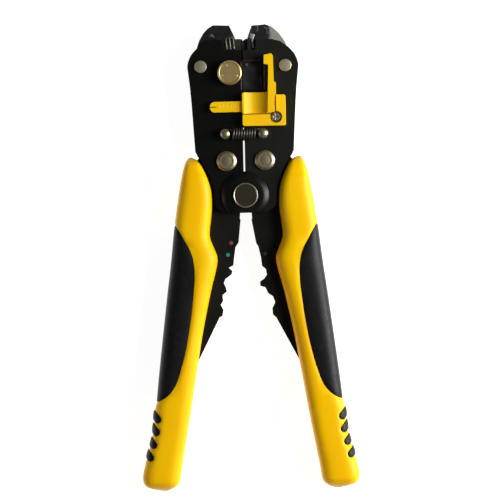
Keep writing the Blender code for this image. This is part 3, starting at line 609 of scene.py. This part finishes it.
def gripLoft(pride=0.0):
    # the left grip, a stack of squared ovals between its inner and outer edges
    s = gripShape
    curves = {name: eased(s[name]) for name in ("outer", "inner", "thick")}
    top, bottom = s["outer"][0][1], s["outer"][-1][1]
    count = s["ring"]
    power = 2 / s["squareness"]
    shape = bmesh.new()
    rings = []
    for i in range(s["rows"] + 1):
        t = i / s["rows"]
        t -= s["crowding"] * math.sin(2 * math.pi * t) / (2 * math.pi)
        y = top + (bottom - top) * t
        outer = -float(np.interp(y, *curves["outer"])) - pride
        inner = -float(np.interp(y, *curves["inner"]))
        half = min(float(np.interp(y, *curves["thick"])), s["halfThickness"]) - pride / 4
        ring = []
        for k in range(count):
            angle = 2 * math.pi * (k + 0.5) / count
            across, up = math.cos(angle), math.sin(angle)
            x = (outer + inner) / 2 + (inner - outer) / 2 * math.copysign(abs(across) ** power, across)
            ring.append(shape.verts.new((x, y, half * math.copysign(abs(up) ** power, up))))
        rings.append(ring)
    for upper, lower in zip(rings, rings[1:]):
        for k in range(count):
            n = (k + 1) % count
            shape.faces.new((upper[k], upper[n], lower[n], lower[k]))
    for ring in (rings[0], rings[-1]):
        middle = sum((v.co for v in ring), Vector()) / count
        hub = shape.verts.new(middle)
        for k in range(count):
            shape.faces.new((ring[k], ring[(k + 1) % count], hub))
    bmesh.ops.recalc_face_normals(shape, faces=shape.faces)
    mesh = bpy.data.meshes.new("loft")
    shape.to_mesh(mesh)
    shape.free()
    return mesh


def edgeAt(name, heights):
    # how far an edge of the grip is from the tool's middle line
    line = np.array(gripShape[name])[::-1]
    return np.interp(heights, line[:, 1], line[:, 0])


def ribOutline(height, grow=0.0):
    # a teardrop leaning up and out, wide at its root
    s = ribShape
    root = (-float(edgeAt("outer", height)) + s["root"][0], height + s["root"][1])
    tip = (root[0] + s["tip"][0], root[1] + s["tip"][1])
    lean = s["lean"]
    return (arc(root, s["rootRadius"] + grow, lean - 180, lean, 18)
            + arc(tip, s["tipRadius"] + grow, lean, lean + 180, 12))


def distanceTo(lines, points):
    # the shortest distance in plan from each point to any of the lines
    best = np.full(len(points), np.inf)
    for line in lines:
        corners = np.array(line)
        for start, end in zip(corners, corners[1:]):
            run = end - start
            share = np.clip(((points - start) @ run) / max(run @ run, 1e-12), 0, 1)
            best = np.minimum(best, np.linalg.norm(points - start - share[:, None] * run, axis=1))
    return best


def turnDown(mesh, lines, amount):
    # rounds a surface down towards its seams, by drawing it in to the grip's own middle
    halfWidth = 9
    places = np.array([v.co for v in mesh.vertices])
    away = np.maximum(distanceTo(lines, places[:, :2]) - gripShape["gap"] / 2, 0)
    share = 1 - amount / halfWidth * np.exp(-(away / gripShape["seamWidth"]) ** 2)
    middle = -(edgeAt("outer", places[:, 1]) + edgeAt("inner", places[:, 1])) / 2
    places[:, 0] = middle + (places[:, 0] - middle) * share
    places[:, 2] *= share
    mesh.vertices.foreach_set("co", places.astype(np.float32).ravel())
    mesh.update()
    return mesh


def offsetLine(points, by):
    # an open line moved sideways, towards the grip's inner edge where the distance is positive
    moved = []
    for i, here in enumerate(points):
        before = Vector(points[max(i - 1, 0)])
        after = Vector(points[min(i + 1, len(points) - 1)])
        along = (after - before).normalized()
        moved.append((here[0] + by * -along.y, here[1] + by * along.x))
    return moved


def pocket(mesh, wide, narrow):
    # cuts both faces to the wide outline and right through to the narrow one, so a seam has a floor
    deep, web = gripShape["deep"], gripShape["web"]
    for outline, low, high in ((wide, web, deep), (wide, -deep, -web), (narrow, -deep, deep)):
        mesh = carved(mesh, slabMesh([outline], low, high), "DIFFERENCE")
    return mesh


def makeGrips():
    s = gripShape
    half, deep = s["gap"] / 2, s["deep"]
    seam = smoothLine(inlayShape["edge"], 6)
    heights = ribShape["heights"]
    ribLoops = []
    for height in heights:
        outline = ribOutline(height)
        ribLoops.append(outline + outline[:1])

    def inlayOutline(by):
        return offsetLine(seam, by) + inlayShape["beyond"]

    loft = gripLoft()
    inlay = carved(loft.copy(), slabMesh([inlayOutline(-half)], -deep, deep), "INTERSECT")
    turnDown(inlay, [seam], s["rubberSeam"])
    grip = pocket(loft, inlayOutline(half), inlayOutline(-s["inlayLedge"]))
    for height in heights:
        grip = pocket(grip, ribOutline(height, half), ribOutline(height, -s["ribLedge"]))
    turnDown(grip, [seam, *ribLoops], s["seam"])
    fingers = joined(*[slabMesh([ribOutline(height, -half)], -deep, deep) for height in heights])
    ribs = carved(gripLoft(ribShape["pride"]), fingers, "INTERSECT")
    turnDown(ribs, ribLoops, s["rubberSeam"])

    for side in ("left", "right"):
        for mesh, part, material, slot in ((grip, "grip", gripYellow, "grip_plastic"),
                                           (inlay, "grip_inlay", inlayRubber, "grip_rubber"),
                                           (ribs, "grip_ribs", inlayRubber, "grip_rubber")):
            copy = mesh.copy()
            if side == "right":
                copy.transform(Matrix.Scale(-1, 4, (1, 0, 0)))
                copy.flip_normals()
            smoothed(copy, s["flatAngle"])
            name = f"{side}_{part}"
            newPiece(f"{name}_moulding", copy, material, f"{side}_handle", slot, name)


makeGrips()
print("grips made")


# Turned pieces, with their profiles as (radius, height).

rivetShape = {
    "foot": 6.9,              # just inside the plates' outer faces
    "jawHead": 2.75, "jawTop": 7.8, "jawShank": 2.0, "jawEdge": 0.28,
    "midHead": 4.5, "midTop": 8.3, "midShank": 2.6, "midEdge": 0.7,
    "midGroove": 2.45, "midFlat": 3.25, "spacer": 3.0, "spacerTop": 4.3,
    "mainHead": 5.5, "mainTop": 10.1, "mainFoot": 9.0, "mainShank": 3.0, "mainEdge": 0.3,
    "mainRecess": 0.12,
    # the ring turned over round the main rivet's head
    "rim": [(4.85, 9.3), (4.85, 10.0), (4.98, 10.15), (5.2, 10.2), (5.42, 10.12), (5.52, 9.9),
            (5.52, 9.3), (4.85, 9.3)],
}
bossShape = {"bore": 3.4, "flat": 7.2, "reach": 3.3, "outer": 10.6, "top": 8.7, "drop": 1.15,
             "lip": 7.3, "foot": 6.92, "cut": 7.3, "beyond": 14}
springHeights = {"front_spring": 9.65, "back_spring": -7.6}
postShape = {"head": 2.1, "rise": 0.9, "above": 0.7, "neck": 1.35, "shank": 1.4,
             "under": [(2.05, 0.4), (1.7, 0.1), (1.35, 0.0)]}


def doubled(half):
    # the same profile on the back of the tool
    return half + [(r, -z) for r, z in reversed(half)]


def turnedOver(profile, up):
    return [(r, up * z) for r, z in profile]


def makeBoss():
    # the soft shoulder of the boss round the main rivet, cut off level with the foot of the plate
    s = bossShape
    beyond = s["beyond"]
    steps = 14
    profile = [(s["bore"], s["top"])]
    for i in range(steps + 1):
        t = i / steps
        profile.append((s["flat"] + s["reach"] * t, s["top"] - s["drop"] * t ** 2))
    profile += [(s["outer"], s["lip"]), (s["outer"], s["foot"]), (s["bore"], s["foot"]),
                (s["bore"], s["top"])]
    kept = [(-beyond, -s["cut"]), (beyond, -s["cut"]), (beyond, beyond), (-beyond, beyond)]
    for up, name in ((1, "front"), (-1, "back")):
        ring = turnedMesh(turnedOver(profile, up), (0, 0), 128)
        shoulder = smoothed(carved(ring, slabMesh([kept], -beyond, beyond), "INTERSECT"), 40)
        newPiece(f"{name}_boss_shoulder", shoulder, bossPaint, "left_head", "black_paint")


def jawRivetProfile():
    s = rivetShape
    return ([(0, s["jawTop"])] + corner(s["jawHead"], s["jawTop"], s["jawEdge"])
            + [(s["jawHead"], s["foot"]), (s["jawShank"], s["foot"])])


def midRivetProfile():
    # a fine groove round the middle of the head, and a flat before its rounded side
    s = rivetShape
    top, groove, flat = s["midTop"], s["midGroove"], s["midFlat"]
    face = [(0, top), (groove - 0.15, top), (groove, top - 0.03), (groove + 0.15, top),
            (flat, top), (flat + 0.25, top - 0.05)]
    return (face + corner(s["midHead"], top - 0.35, s["midEdge"], 7)
            + [(s["midHead"], s["foot"]), (s["midShank"], s["foot"]),
               (s["midShank"], s["spacerTop"]), (s["spacer"], s["spacerTop"])])


def postProfile():
    # a domed head at each spring's height, with the shank between the plates
    s = postShape
    steps = 8
    dome = []
    for i in range(steps + 1):
        t = math.pi / 2 * i / steps
        dome.append((s["head"] * math.sin(t), s["above"] + s["rise"] * math.cos(t)))
    dome += s["under"]
    front = [(r, springHeights["front_spring"] + s["above"] + z) for r, z in dome]
    back = [(r, springHeights["back_spring"] - s["above"] - z) for r, z in dome]
    neck = [(s["neck"], 6.95), (s["shank"], 6.6), (s["shank"], -6.6), (s["neck"], -6.95)]
    return front + neck + back[::-1]


def makeRivets():
    s = rivetShape
    for side in ("left", "right"):
        # node, profile, steps, then the steel's name, tone, roughness and ring width
        for node, profile, steps, steel, tone, roughness, ring in (
                ("jaw_rivet", doubled(jawRivetProfile()), 96,
                 "jaw rivet steel", (0.52, 0.49, 0.34), 0.36, 0.22),
                ("mid_rivet", doubled(midRivetProfile()), 96,
                 "mid rivet steel", (0.60, 0.50, 0.31), 0.26, 0.5),
                ("spring_post", postProfile(), 64,
                 "post steel", (0.62, 0.55, 0.34), 0.24, 0.7)):
            name = f"{side}_{node}"
            center = centreOf(name)
            finish = turnedSteel(f"{side} {steel}", center, tone, roughness, ring)
            newPiece(f"{name}_turned", turnedMesh(profile, center, steps), finish,
                     f"{side}_head", "rivet_steel", name)

    for up, name in ((1, "front"), (-1, "back")):
        # the rim is much lighter steel than the rivet's dark face: a painted highlight round the head's edge
        finish = turnedSteel(f"{name} rim steel painted bright", (0, 0), (0.5, 0.44, 0.32), 0.3)
        newPiece(f"main_rivet_{name}_rim", turnedMesh(turnedOver(s["rim"], up), (0, 0), 128), finish,
                 "left_head", "rivet_steel")

    face = s["mainTop"] - s["mainRecess"]
    half = [(0, face), (4.9, face), (5.02, s["mainTop"])]
    half += corner(s["mainHead"], s["mainTop"], s["mainEdge"])
    half += [(s["mainHead"], s["mainFoot"]), (s["mainShank"], s["mainFoot"])]
    newPiece("main_pivot_rivet_turned", turnedMesh(doubled(half), (0, 0), 128),
             turnedSteel("main rivet steel", (0, 0), (0.06, 0.052, 0.032), 0.42, 0.35),
             "left_head", "rivet_steel", "main_pivot_rivet")


knobShape = {
    "radius": 5.35, "top": 11.35, "foot": 6.95, "edge": 0.4, "footEdge": 0.3,
    "rimIn": 4.35, "rimOut": 4.95, "rimTop": 11.6,
    "knurls": 72, "knurl": 0.24, "knurlMargin": 1.1,
    "marks": (112, 200, 338),   # turns of the three small marks, in degrees
    "mark": [(3.1, -0.35), (4.0, -0.2), (4.0, 0.2), (3.1, 0.35)],
}


def makeKnob():
    s = knobShape
    center = centreOf("tension_knob")
    radius, top, foot = s["radius"], s["top"], s["foot"]
    rimIn, rimOut, rimTop = s["rimIn"], s["rimOut"], s["rimTop"]
    profile = [(0, top), (rimIn, top), (rimIn + 0.14, rimTop - 0.06), (rimIn + 0.24, rimTop),
               (rimOut - 0.16, rimTop), (rimOut, rimTop - 0.14)]
    profile += corner(radius, top - 0.05, s["edge"])
    profile += [(radius, foot + s["footEdge"]), (radius - s["footEdge"], foot), (0, foot)]
    brass = turnedSteel("knob brass", center, (0.80, 0.59, 0.24), 0.3, 0.4)
    ridges = knurls.mesh(Count=s["knurls"], Radius=radius - 0.02, Bar=s["knurl"],
                         Height=top - foot - s["knurlMargin"], Material=brass)
    ridges.transform(Matrix.Translation((*center, (top + foot) / 2 - 0.1)))
    marks = []
    for turn in s["marks"]:
        dash = slabMesh([s["mark"]], top - 0.3, top + 0.16, 0.08)
        turned = Matrix.Rotation(math.radians(turn), 4, "Z")
        dash.transform(Matrix.Translation((*center, 0)) @ turned)
        marks.append(dash)
    newPiece("tension_knob_turned", joined(turnedMesh(profile, center), ridges), brass,
             "knob", "brass", "tension_knob")
    newPiece("tension_knob_marks", joined(*marks),
             plainSteel("knob mark brass", (1.0, 0.86, 0.5), 0.42), "knob", "brass")


makeBoss()
makeRivets()
makeKnob()
print("rivets and knob made")


# Springs.

springShape = {
    "turns": 9.0, "radius": 2.28, "wire": 0.42, "halfLength": 5.2,
    "eye": 2.08, "eyeTurn": 300,          # the hook's radius, and its turn round the post in degrees
    "lead": ((0.9, 1.95, 0.3), (0.1, 1.4, 1.5)),   # past the coil's end, above its axis, outwards
}


def hookMesh(post, way, height):
    # the open eye round a post, and the wire's way back into the coil
    s = springShape
    steps = 24
    line = []
    for k in range(steps + 1):
        t = math.radians(90 + way * (s["eyeTurn"] * k / steps - s["eyeTurn"]))
        line.append((post[0] + s["eye"] * math.cos(t), post[1] + s["eye"] * math.sin(t), height))
    for past, above, out in s["lead"]:
        line.append((way * (s["halfLength"] + past), post[1] + above,
                     height + math.copysign(out, height)))
    return wireMesh(smoothLine(line, 3), s["wire"])


def makeSprings():
    s = springShape
    left, right = centreOf("left_spring_post"), centreOf("right_spring_post")
    for name, height in springHeights.items():
        coil = coils.mesh(Turns=s["turns"], Length=2 * s["halfLength"], Radius=s["radius"],
                          Wire=s["wire"], Material=springSteel)
        coil.transform(Matrix.Translation((-s["halfLength"], left[1], height)))
        hooks = [hookMesh(left, -1, height), hookMesh(right, 1, height)]
        newPiece(f"{name}_coiled", joined(smoothed(coil, 50), *hooks), springSteel,
                 "left_head", "spring_steel", name)


makeSprings()
print("springs made")


# Flat pieces: each is its node's own shape, with the edges rounded.

edgeShape = {"flatAngle": 0.7, "sharpAngle": 32, "segments": 3, "shadeAngle": 40}
crown = {"nodes": ("left_upper_jaw", "right_upper_jaw"), "face": 4.2, "outside": 12.5, "above": 65.0,
         "width": 2.4, "segments": 7, "sharpAngle": 60}
# the most that a piece may stand out from the middle of the tool, where another piece covers it
sunk = {"upper_blade": 4.05, "left_front_plate": 7.0, "left_back_plate": 7.0}
edgeFinishes = {
    "left_front_plate": (0.35, paint), "right_front_plate": (0.35, litRightPaint),
    "left_back_plate": (0.35, paint), "right_back_plate": (0.35, paint),
    "left_upper_jaw": (0.4, jawSteel), "right_upper_jaw": (0.4, highlitJawSteel),
    "left_lower_jaw": (0.2, lowerJawSteel), "right_lower_jaw": (0.2, lowerJawSteel),
    "left_handle_core": (0.2, corePaint), "right_handle_core": (0.2, corePaint),
    "upper_blade": (0.08, lowerJawSteel), "lower_blade": (0.08, bladeSteel),
    "left_upper_jaw_pin": (0.1, pinSteel), "right_upper_jaw_pin": (0.1, pinSteel),
    "pivot_washer": (0.1, pinSteel), "tension_shaft": (0.1, pinSteel),
    "stop_screw": (0.12, pinSteel), "handle_torsion_spring": (0.0, springSteel),
    "stop_guide": (0.55, stopYellow), "stop_slider": (0.5, stopYellow),
}
enamels = {
    "red_die_mark": ((0.10, 0.008, 0.006), (0.28, 0.085, 0.075)),
    "blue_die_mark": ((0.0, 0.07, 0.12), (0.03, 0.36, 0.36)),
    "grey_die_mark": ((0.01, 0.01, 0.009), (0.035, 0.035, 0.032)),
}


def crownEdges(shape):
    # the long outer edges of an upper jaw's crown, on its front and back faces
    chosen = []
    for edge in shape.edges:
        a, b = ((v.co - rivetAxis) / mm for v in edge.verts)
        onFace = abs(a.z - b.z) < 1e-3 and abs(abs(a.z) - crown["face"]) < 1e-2
        outside = min(abs(a.x), abs(b.x)) > crown["outside"] and min(a.y, b.y) > crown["above"]
        if onFace and outside and edge.is_manifold:
            if edge.calc_face_angle(0) > math.radians(crown["sharpAngle"]):
                chosen.append(edge)
    return chosen


def weightedMesh(mesh):
    # the same mesh with normals that keep its wide faces flat
    holder = linked("weighted", mesh)
    holder.modifiers.new("weighted", "WEIGHTED_NORMAL").keep_sharp = True
    graph = bpy.context.evaluated_depsgraph_get()
    graph.update()
    done = bpy.data.meshes.new_from_object(holder.evaluated_get(graph))
    bpy.data.objects.remove(holder)
    return done


def roundEdges(node, width, material):
    s = edgeShape
    shape = bmesh.new()
    shape.from_mesh(frame["nodes"][node].data)
    bmesh.ops.remove_doubles(shape, verts=shape.verts, dist=1e-6)
    bmesh.ops.dissolve_limit(shape, verts=shape.verts, edges=shape.edges,
                             angle_limit=math.radians(s["flatAngle"]))
    if node in sunk:
        most = sunk[node] * mm
        for vertex in shape.verts:
            height = vertex.co.z - rivetAxis.z
            vertex.co.z = rivetAxis.z + max(-most, min(most, height))
    if node in crown["nodes"]:
        bmesh.ops.bevel(shape, geom=crownEdges(shape), offset=crown["width"] * mm,
                        segments=crown["segments"], profile=0.5, affect="EDGES", clamp_overlap=True)
    if width:
        least = math.radians(s["sharpAngle"])
        sharp = [edge for edge in shape.edges if edge.is_manifold and edge.calc_face_angle(0) > least]
        bmesh.ops.bevel(shape, geom=sharp, offset=width * mm, segments=s["segments"], profile=0.5,
                        affect="EDGES", clamp_overlap=True, loop_slide=True)
    bmesh.ops.triangulate(shape, faces=[face for face in shape.faces if len(face.verts) > 4])
    mesh = bpy.data.meshes.new(node)
    shape.to_mesh(mesh)
    shape.free()
    mesh.transform(toWorld.inverted())
    smoothed(mesh, s["shadeAngle"])
    record = frame["record"]
    slot = next(part["material_slot"] for part in record["subparts"] if part["node"] == node)
    bodies = record["behaviour"]["bodies"]
    body = next(name for name, nodes in bodies.items() if node in nodes)
    return newPiece(f"{node}_finished", weightedMesh(mesh), material, body, slot, node)


for node, (width, material) in edgeFinishes.items():
    roundEdges(node, width, material)
for node, (tone, pale) in enamels.items():
    roundEdges(node, 0.1, enamelSpot(f"{node} enamel", tone, centreOf(node), pale))
print("flat pieces finished")


# Small things on the faces: the blade's edge, the gripping fins, cast and printed marks, painted highlights along
# the window's edges and a painted shadow round the stop's screw.

details = {
    "jawFace": 4.2, "finTop": 4.55, "plateFace": 6.6, "insideFace": 4.3, "guideTop": 11.4, "barTop": 9.9,
    "lift": 0.07,       # how far a mark stands out of its face
    "sink": 0.1,        # and how far its foot goes in
    "round": 0.03,
    "bladeHead": [(3.6, 72.0), (5.6, 71.2), (4.95, 69.5), (4.75, 68.8), (5.15, 65.2), (4.5, 65.2),
                  (4.05, 69.3), (2.9, 70.0)],
    "slotCover": [(3.6, 71.8), (5.7, 71.8), (5.6, 74.9), (4.15, 74.9), (3.75, 73.6)],
    "slotFoot": 2.6,
    "finRow": {"Count": 3, "Pitch": 1.62, "Radius": 0.3, "Length": 4.6},
    "finStart": (-7.1, 67.1),
    "finLean": 6,
    "finBar": [(-7.9, 69.5), (-3.7, 69.9), (-3.7, 70.35), (-7.9, 69.95)],
    "rightJawMarks": [((6.7, 72.7), (7.0, 75.0)), ((7.0, 75.0), (6.3, 74.9)),
                      ((9.9, 74.2), (11.0, 74.0)), ((11.0, 74.0), (11.1, 71.4))],
    "leftJawMarks": [((-14.1, 71.5), (-13.2, 70.6)), ((-13.3, 71.6), (-14.2, 70.7)),
                     ((-13.0, 71.3), (-12.6, 70.3))],
    "markWidth": 0.34,
    "windowHighlights": [((-0.82, 46.9), (-0.82, 59.3)), ((9.35, 46.9), (9.35, 59.3))],
    "windowHighlightWidth": 0.3,
    "redLine": ((0.2, 59.65), (7.6, 59.65)),
    "redWidth": 0.42,
    "spot": (1.9, 58.0),
    "spotRadius": 0.7,
    "seatShadowRadii": (2.6, 2.1),
    "barTicks": {"Count": 6, "Pitch": 1.7, "Radius": 0.13, "Length": 1.5},
    "barStart": (-10.6, 39.2),
}


def stroke(start, end, width):
    # a thin straight bar seen from above
    a, b = Vector(start), Vector(end)
    along = (b - a).normalized() * width / 2
    across = Vector((-along.y, along.x))
    return [tuple(a - along + across), tuple(a - along - across), tuple(b + along - across),
            tuple(b + along + across)]


def raised(outlines, face):
    # a thin mark on a face at that height
    s = details
    return slabMesh(outlines, face - s["sink"], face + s["lift"], s["round"])


def makeDetails():
    s = details
    face, finTop = s["jawFace"], s["finTop"]
    newPiece("upper_blade_slot_cover", slabMesh([s["slotCover"]], s["slotFoot"], face + 0.012),
             jawSteel, "right_jaw", "cast_steel")
    newPiece("upper_blade_edge", slabMesh([s["bladeHead"]], face - s["sink"], finTop, 0.06),
             bladeSteel, "right_jaw", "blade_steel")
    fins = rows.mesh(**s["finRow"], Material=finSteel)
    fins.transform(Matrix.Rotation(math.radians(s["finLean"]), 4, "Z"))
    fins.transform(Matrix.Translation((*s["finStart"], finTop - s["finRow"]["Radius"])))
    bar = slabMesh([s["finBar"]], face - s["sink"], finTop - 0.1, 0.08)
    newPiece("left_jaw_fins", joined(smoothed(fins, 40), bar), finSteel, "left_jaw", "cast_steel")
    for name, strokes, body in (("right_jaw_marks", s["rightJawMarks"], "right_jaw"),
                                ("left_jaw_marks", s["leftJawMarks"], "left_jaw")):
        marks = [raised([stroke(*ends, s["markWidth"])], face) for ends in strokes]
        newPiece(name, joined(*marks), markAndHighlightSteel, body, "cast_steel")
    # pale lines at the window's sides: painted highlights where the plates' edges catch the light
    for ends, body in zip(s["windowHighlights"], ("left_head", "right_head")):
        edge = raised([stroke(*ends, s["windowHighlightWidth"])], s["plateFace"])
        newPiece(f"{body}_window_edge_highlight", edge, markAndHighlightSteel, body, "black_paint")
    red = raised([stroke(*s["redLine"], s["redWidth"])], s["plateFace"])
    newPiece("right_head_red_line", red, redInk, "right_head", "red_enamel")
    spot = raised([arc(s["spot"], s["spotRadius"], 0, 345, 23)], s["insideFace"])
    newPiece("right_jaw_spot", spot, markAndHighlightSteel, "right_head", "cast_steel")
    # a dark ring round the screw: painted shadow in its seat
    center = centreOf("stop_screw")
    seat = slabMesh([arc(center, radius, 0, 354, 59) for radius in s["seatShadowRadii"]],
                    s["guideTop"] - 0.3, s["guideTop"] + 0.03)
    newPiece("stop_screw_seat", seat, seatShadow, "right_head", "yellow_plastic")
    ticks = rows.mesh(**s["barTicks"], Material=paleYellow)
    ticks.transform(Matrix.Translation((*s["barStart"], s["barTop"] - 0.06)))
    newPiece("stop_bar_ticks", smoothed(ticks, 40), paleYellow, "wire_stop", "yellow_plastic")


makeDetails()
print("details made")


# Floor, light and camera.

studio = {
    "floorReach": 3.0, "floorDrop": 0.0002, "floorTone": 0.5, "floorGlow": 0.93,
    # place, size in metres and power in watts
    "lights": {
        "key from the right": ((0.87, 0.10, 0.46), (0.35, 1.2), 20.5),
        "low fill from the left": ((-0.9, -0.1, 0.25), (0.25, 0.9), 1.1),
    },
    "world": 0.07,
    "aim": (1.5, -24.2, 5.0),     # in the tool's millimetres, at the height of its faces
    "fieldWidth": 221.4 * mm,
    "lens": 240.0, "sensor": 36.0, "clipStart": 0.01,
    "roll": 0.0207,
}


def makeFloor():
    s = studio
    reach, height = s["floorReach"], -s["floorDrop"]
    corners = [(-reach, -reach, height), (reach, -reach, height), (reach, reach, height),
               (-reach, reach, height)]
    mesh = bpy.data.meshes.new("floor")
    mesh.from_pydata(corners, [], [(0, 1, 2, 3)])
    floor = linked("floor", mesh)
    finish = Finish("pale floor", 0.9)
    finish.set("Base Color", (s["floorTone"],) * 3)
    finish.set("Emission Color", (1.0, 1.0, 1.0))
    finish.set("Emission Strength", s["floorGlow"])
    mesh.materials.append(finish.material)


def makeLight(name, place, size, power):
    # a soft rectangle that faces the middle of the object
    data = bpy.data.lights.new(name, "AREA")
    data.shape = "RECTANGLE"
    data.size, data.size_y = size
    data.energy = power
    light = linked(name, data)
    light.location = place
    light.rotation_euler = (-Vector(place)).to_track_quat("-Z", "Y").to_euler()


def makeStudio():
    for name, (place, size, power) in studio["lights"].items():
        makeLight(name, place, size, power)
    world = bpy.data.worlds.new("studio")
    world.use_nodes = True
    background = world.node_tree.nodes["Background"]
    background.inputs["Color"].default_value = (1, 1, 1, 1)
    background.inputs["Strength"].default_value = studio["world"]
    bpy.context.scene.world = world
    bpy.context.scene.view_settings.view_transform = "Standard"


def makeCamera():
    # straight above, far enough back that the tool shows almost no perspective
    s = studio
    data = bpy.data.cameras.new("camera")
    data.lens = s["lens"]
    data.sensor_width = s["sensor"]
    data.clip_start = s["clipStart"]
    camera = linked("camera", data)
    distance = s["fieldWidth"] * s["lens"] / s["sensor"]
    camera.location = toWorld @ Vector(s["aim"]) + Vector((0, 0, distance))
    camera.rotation_euler = (0, 0, -s["roll"])
    bpy.context.scene.camera = camera


makeFloor()
makeStudio()
makeCamera()
print("floor, lights and camera set")
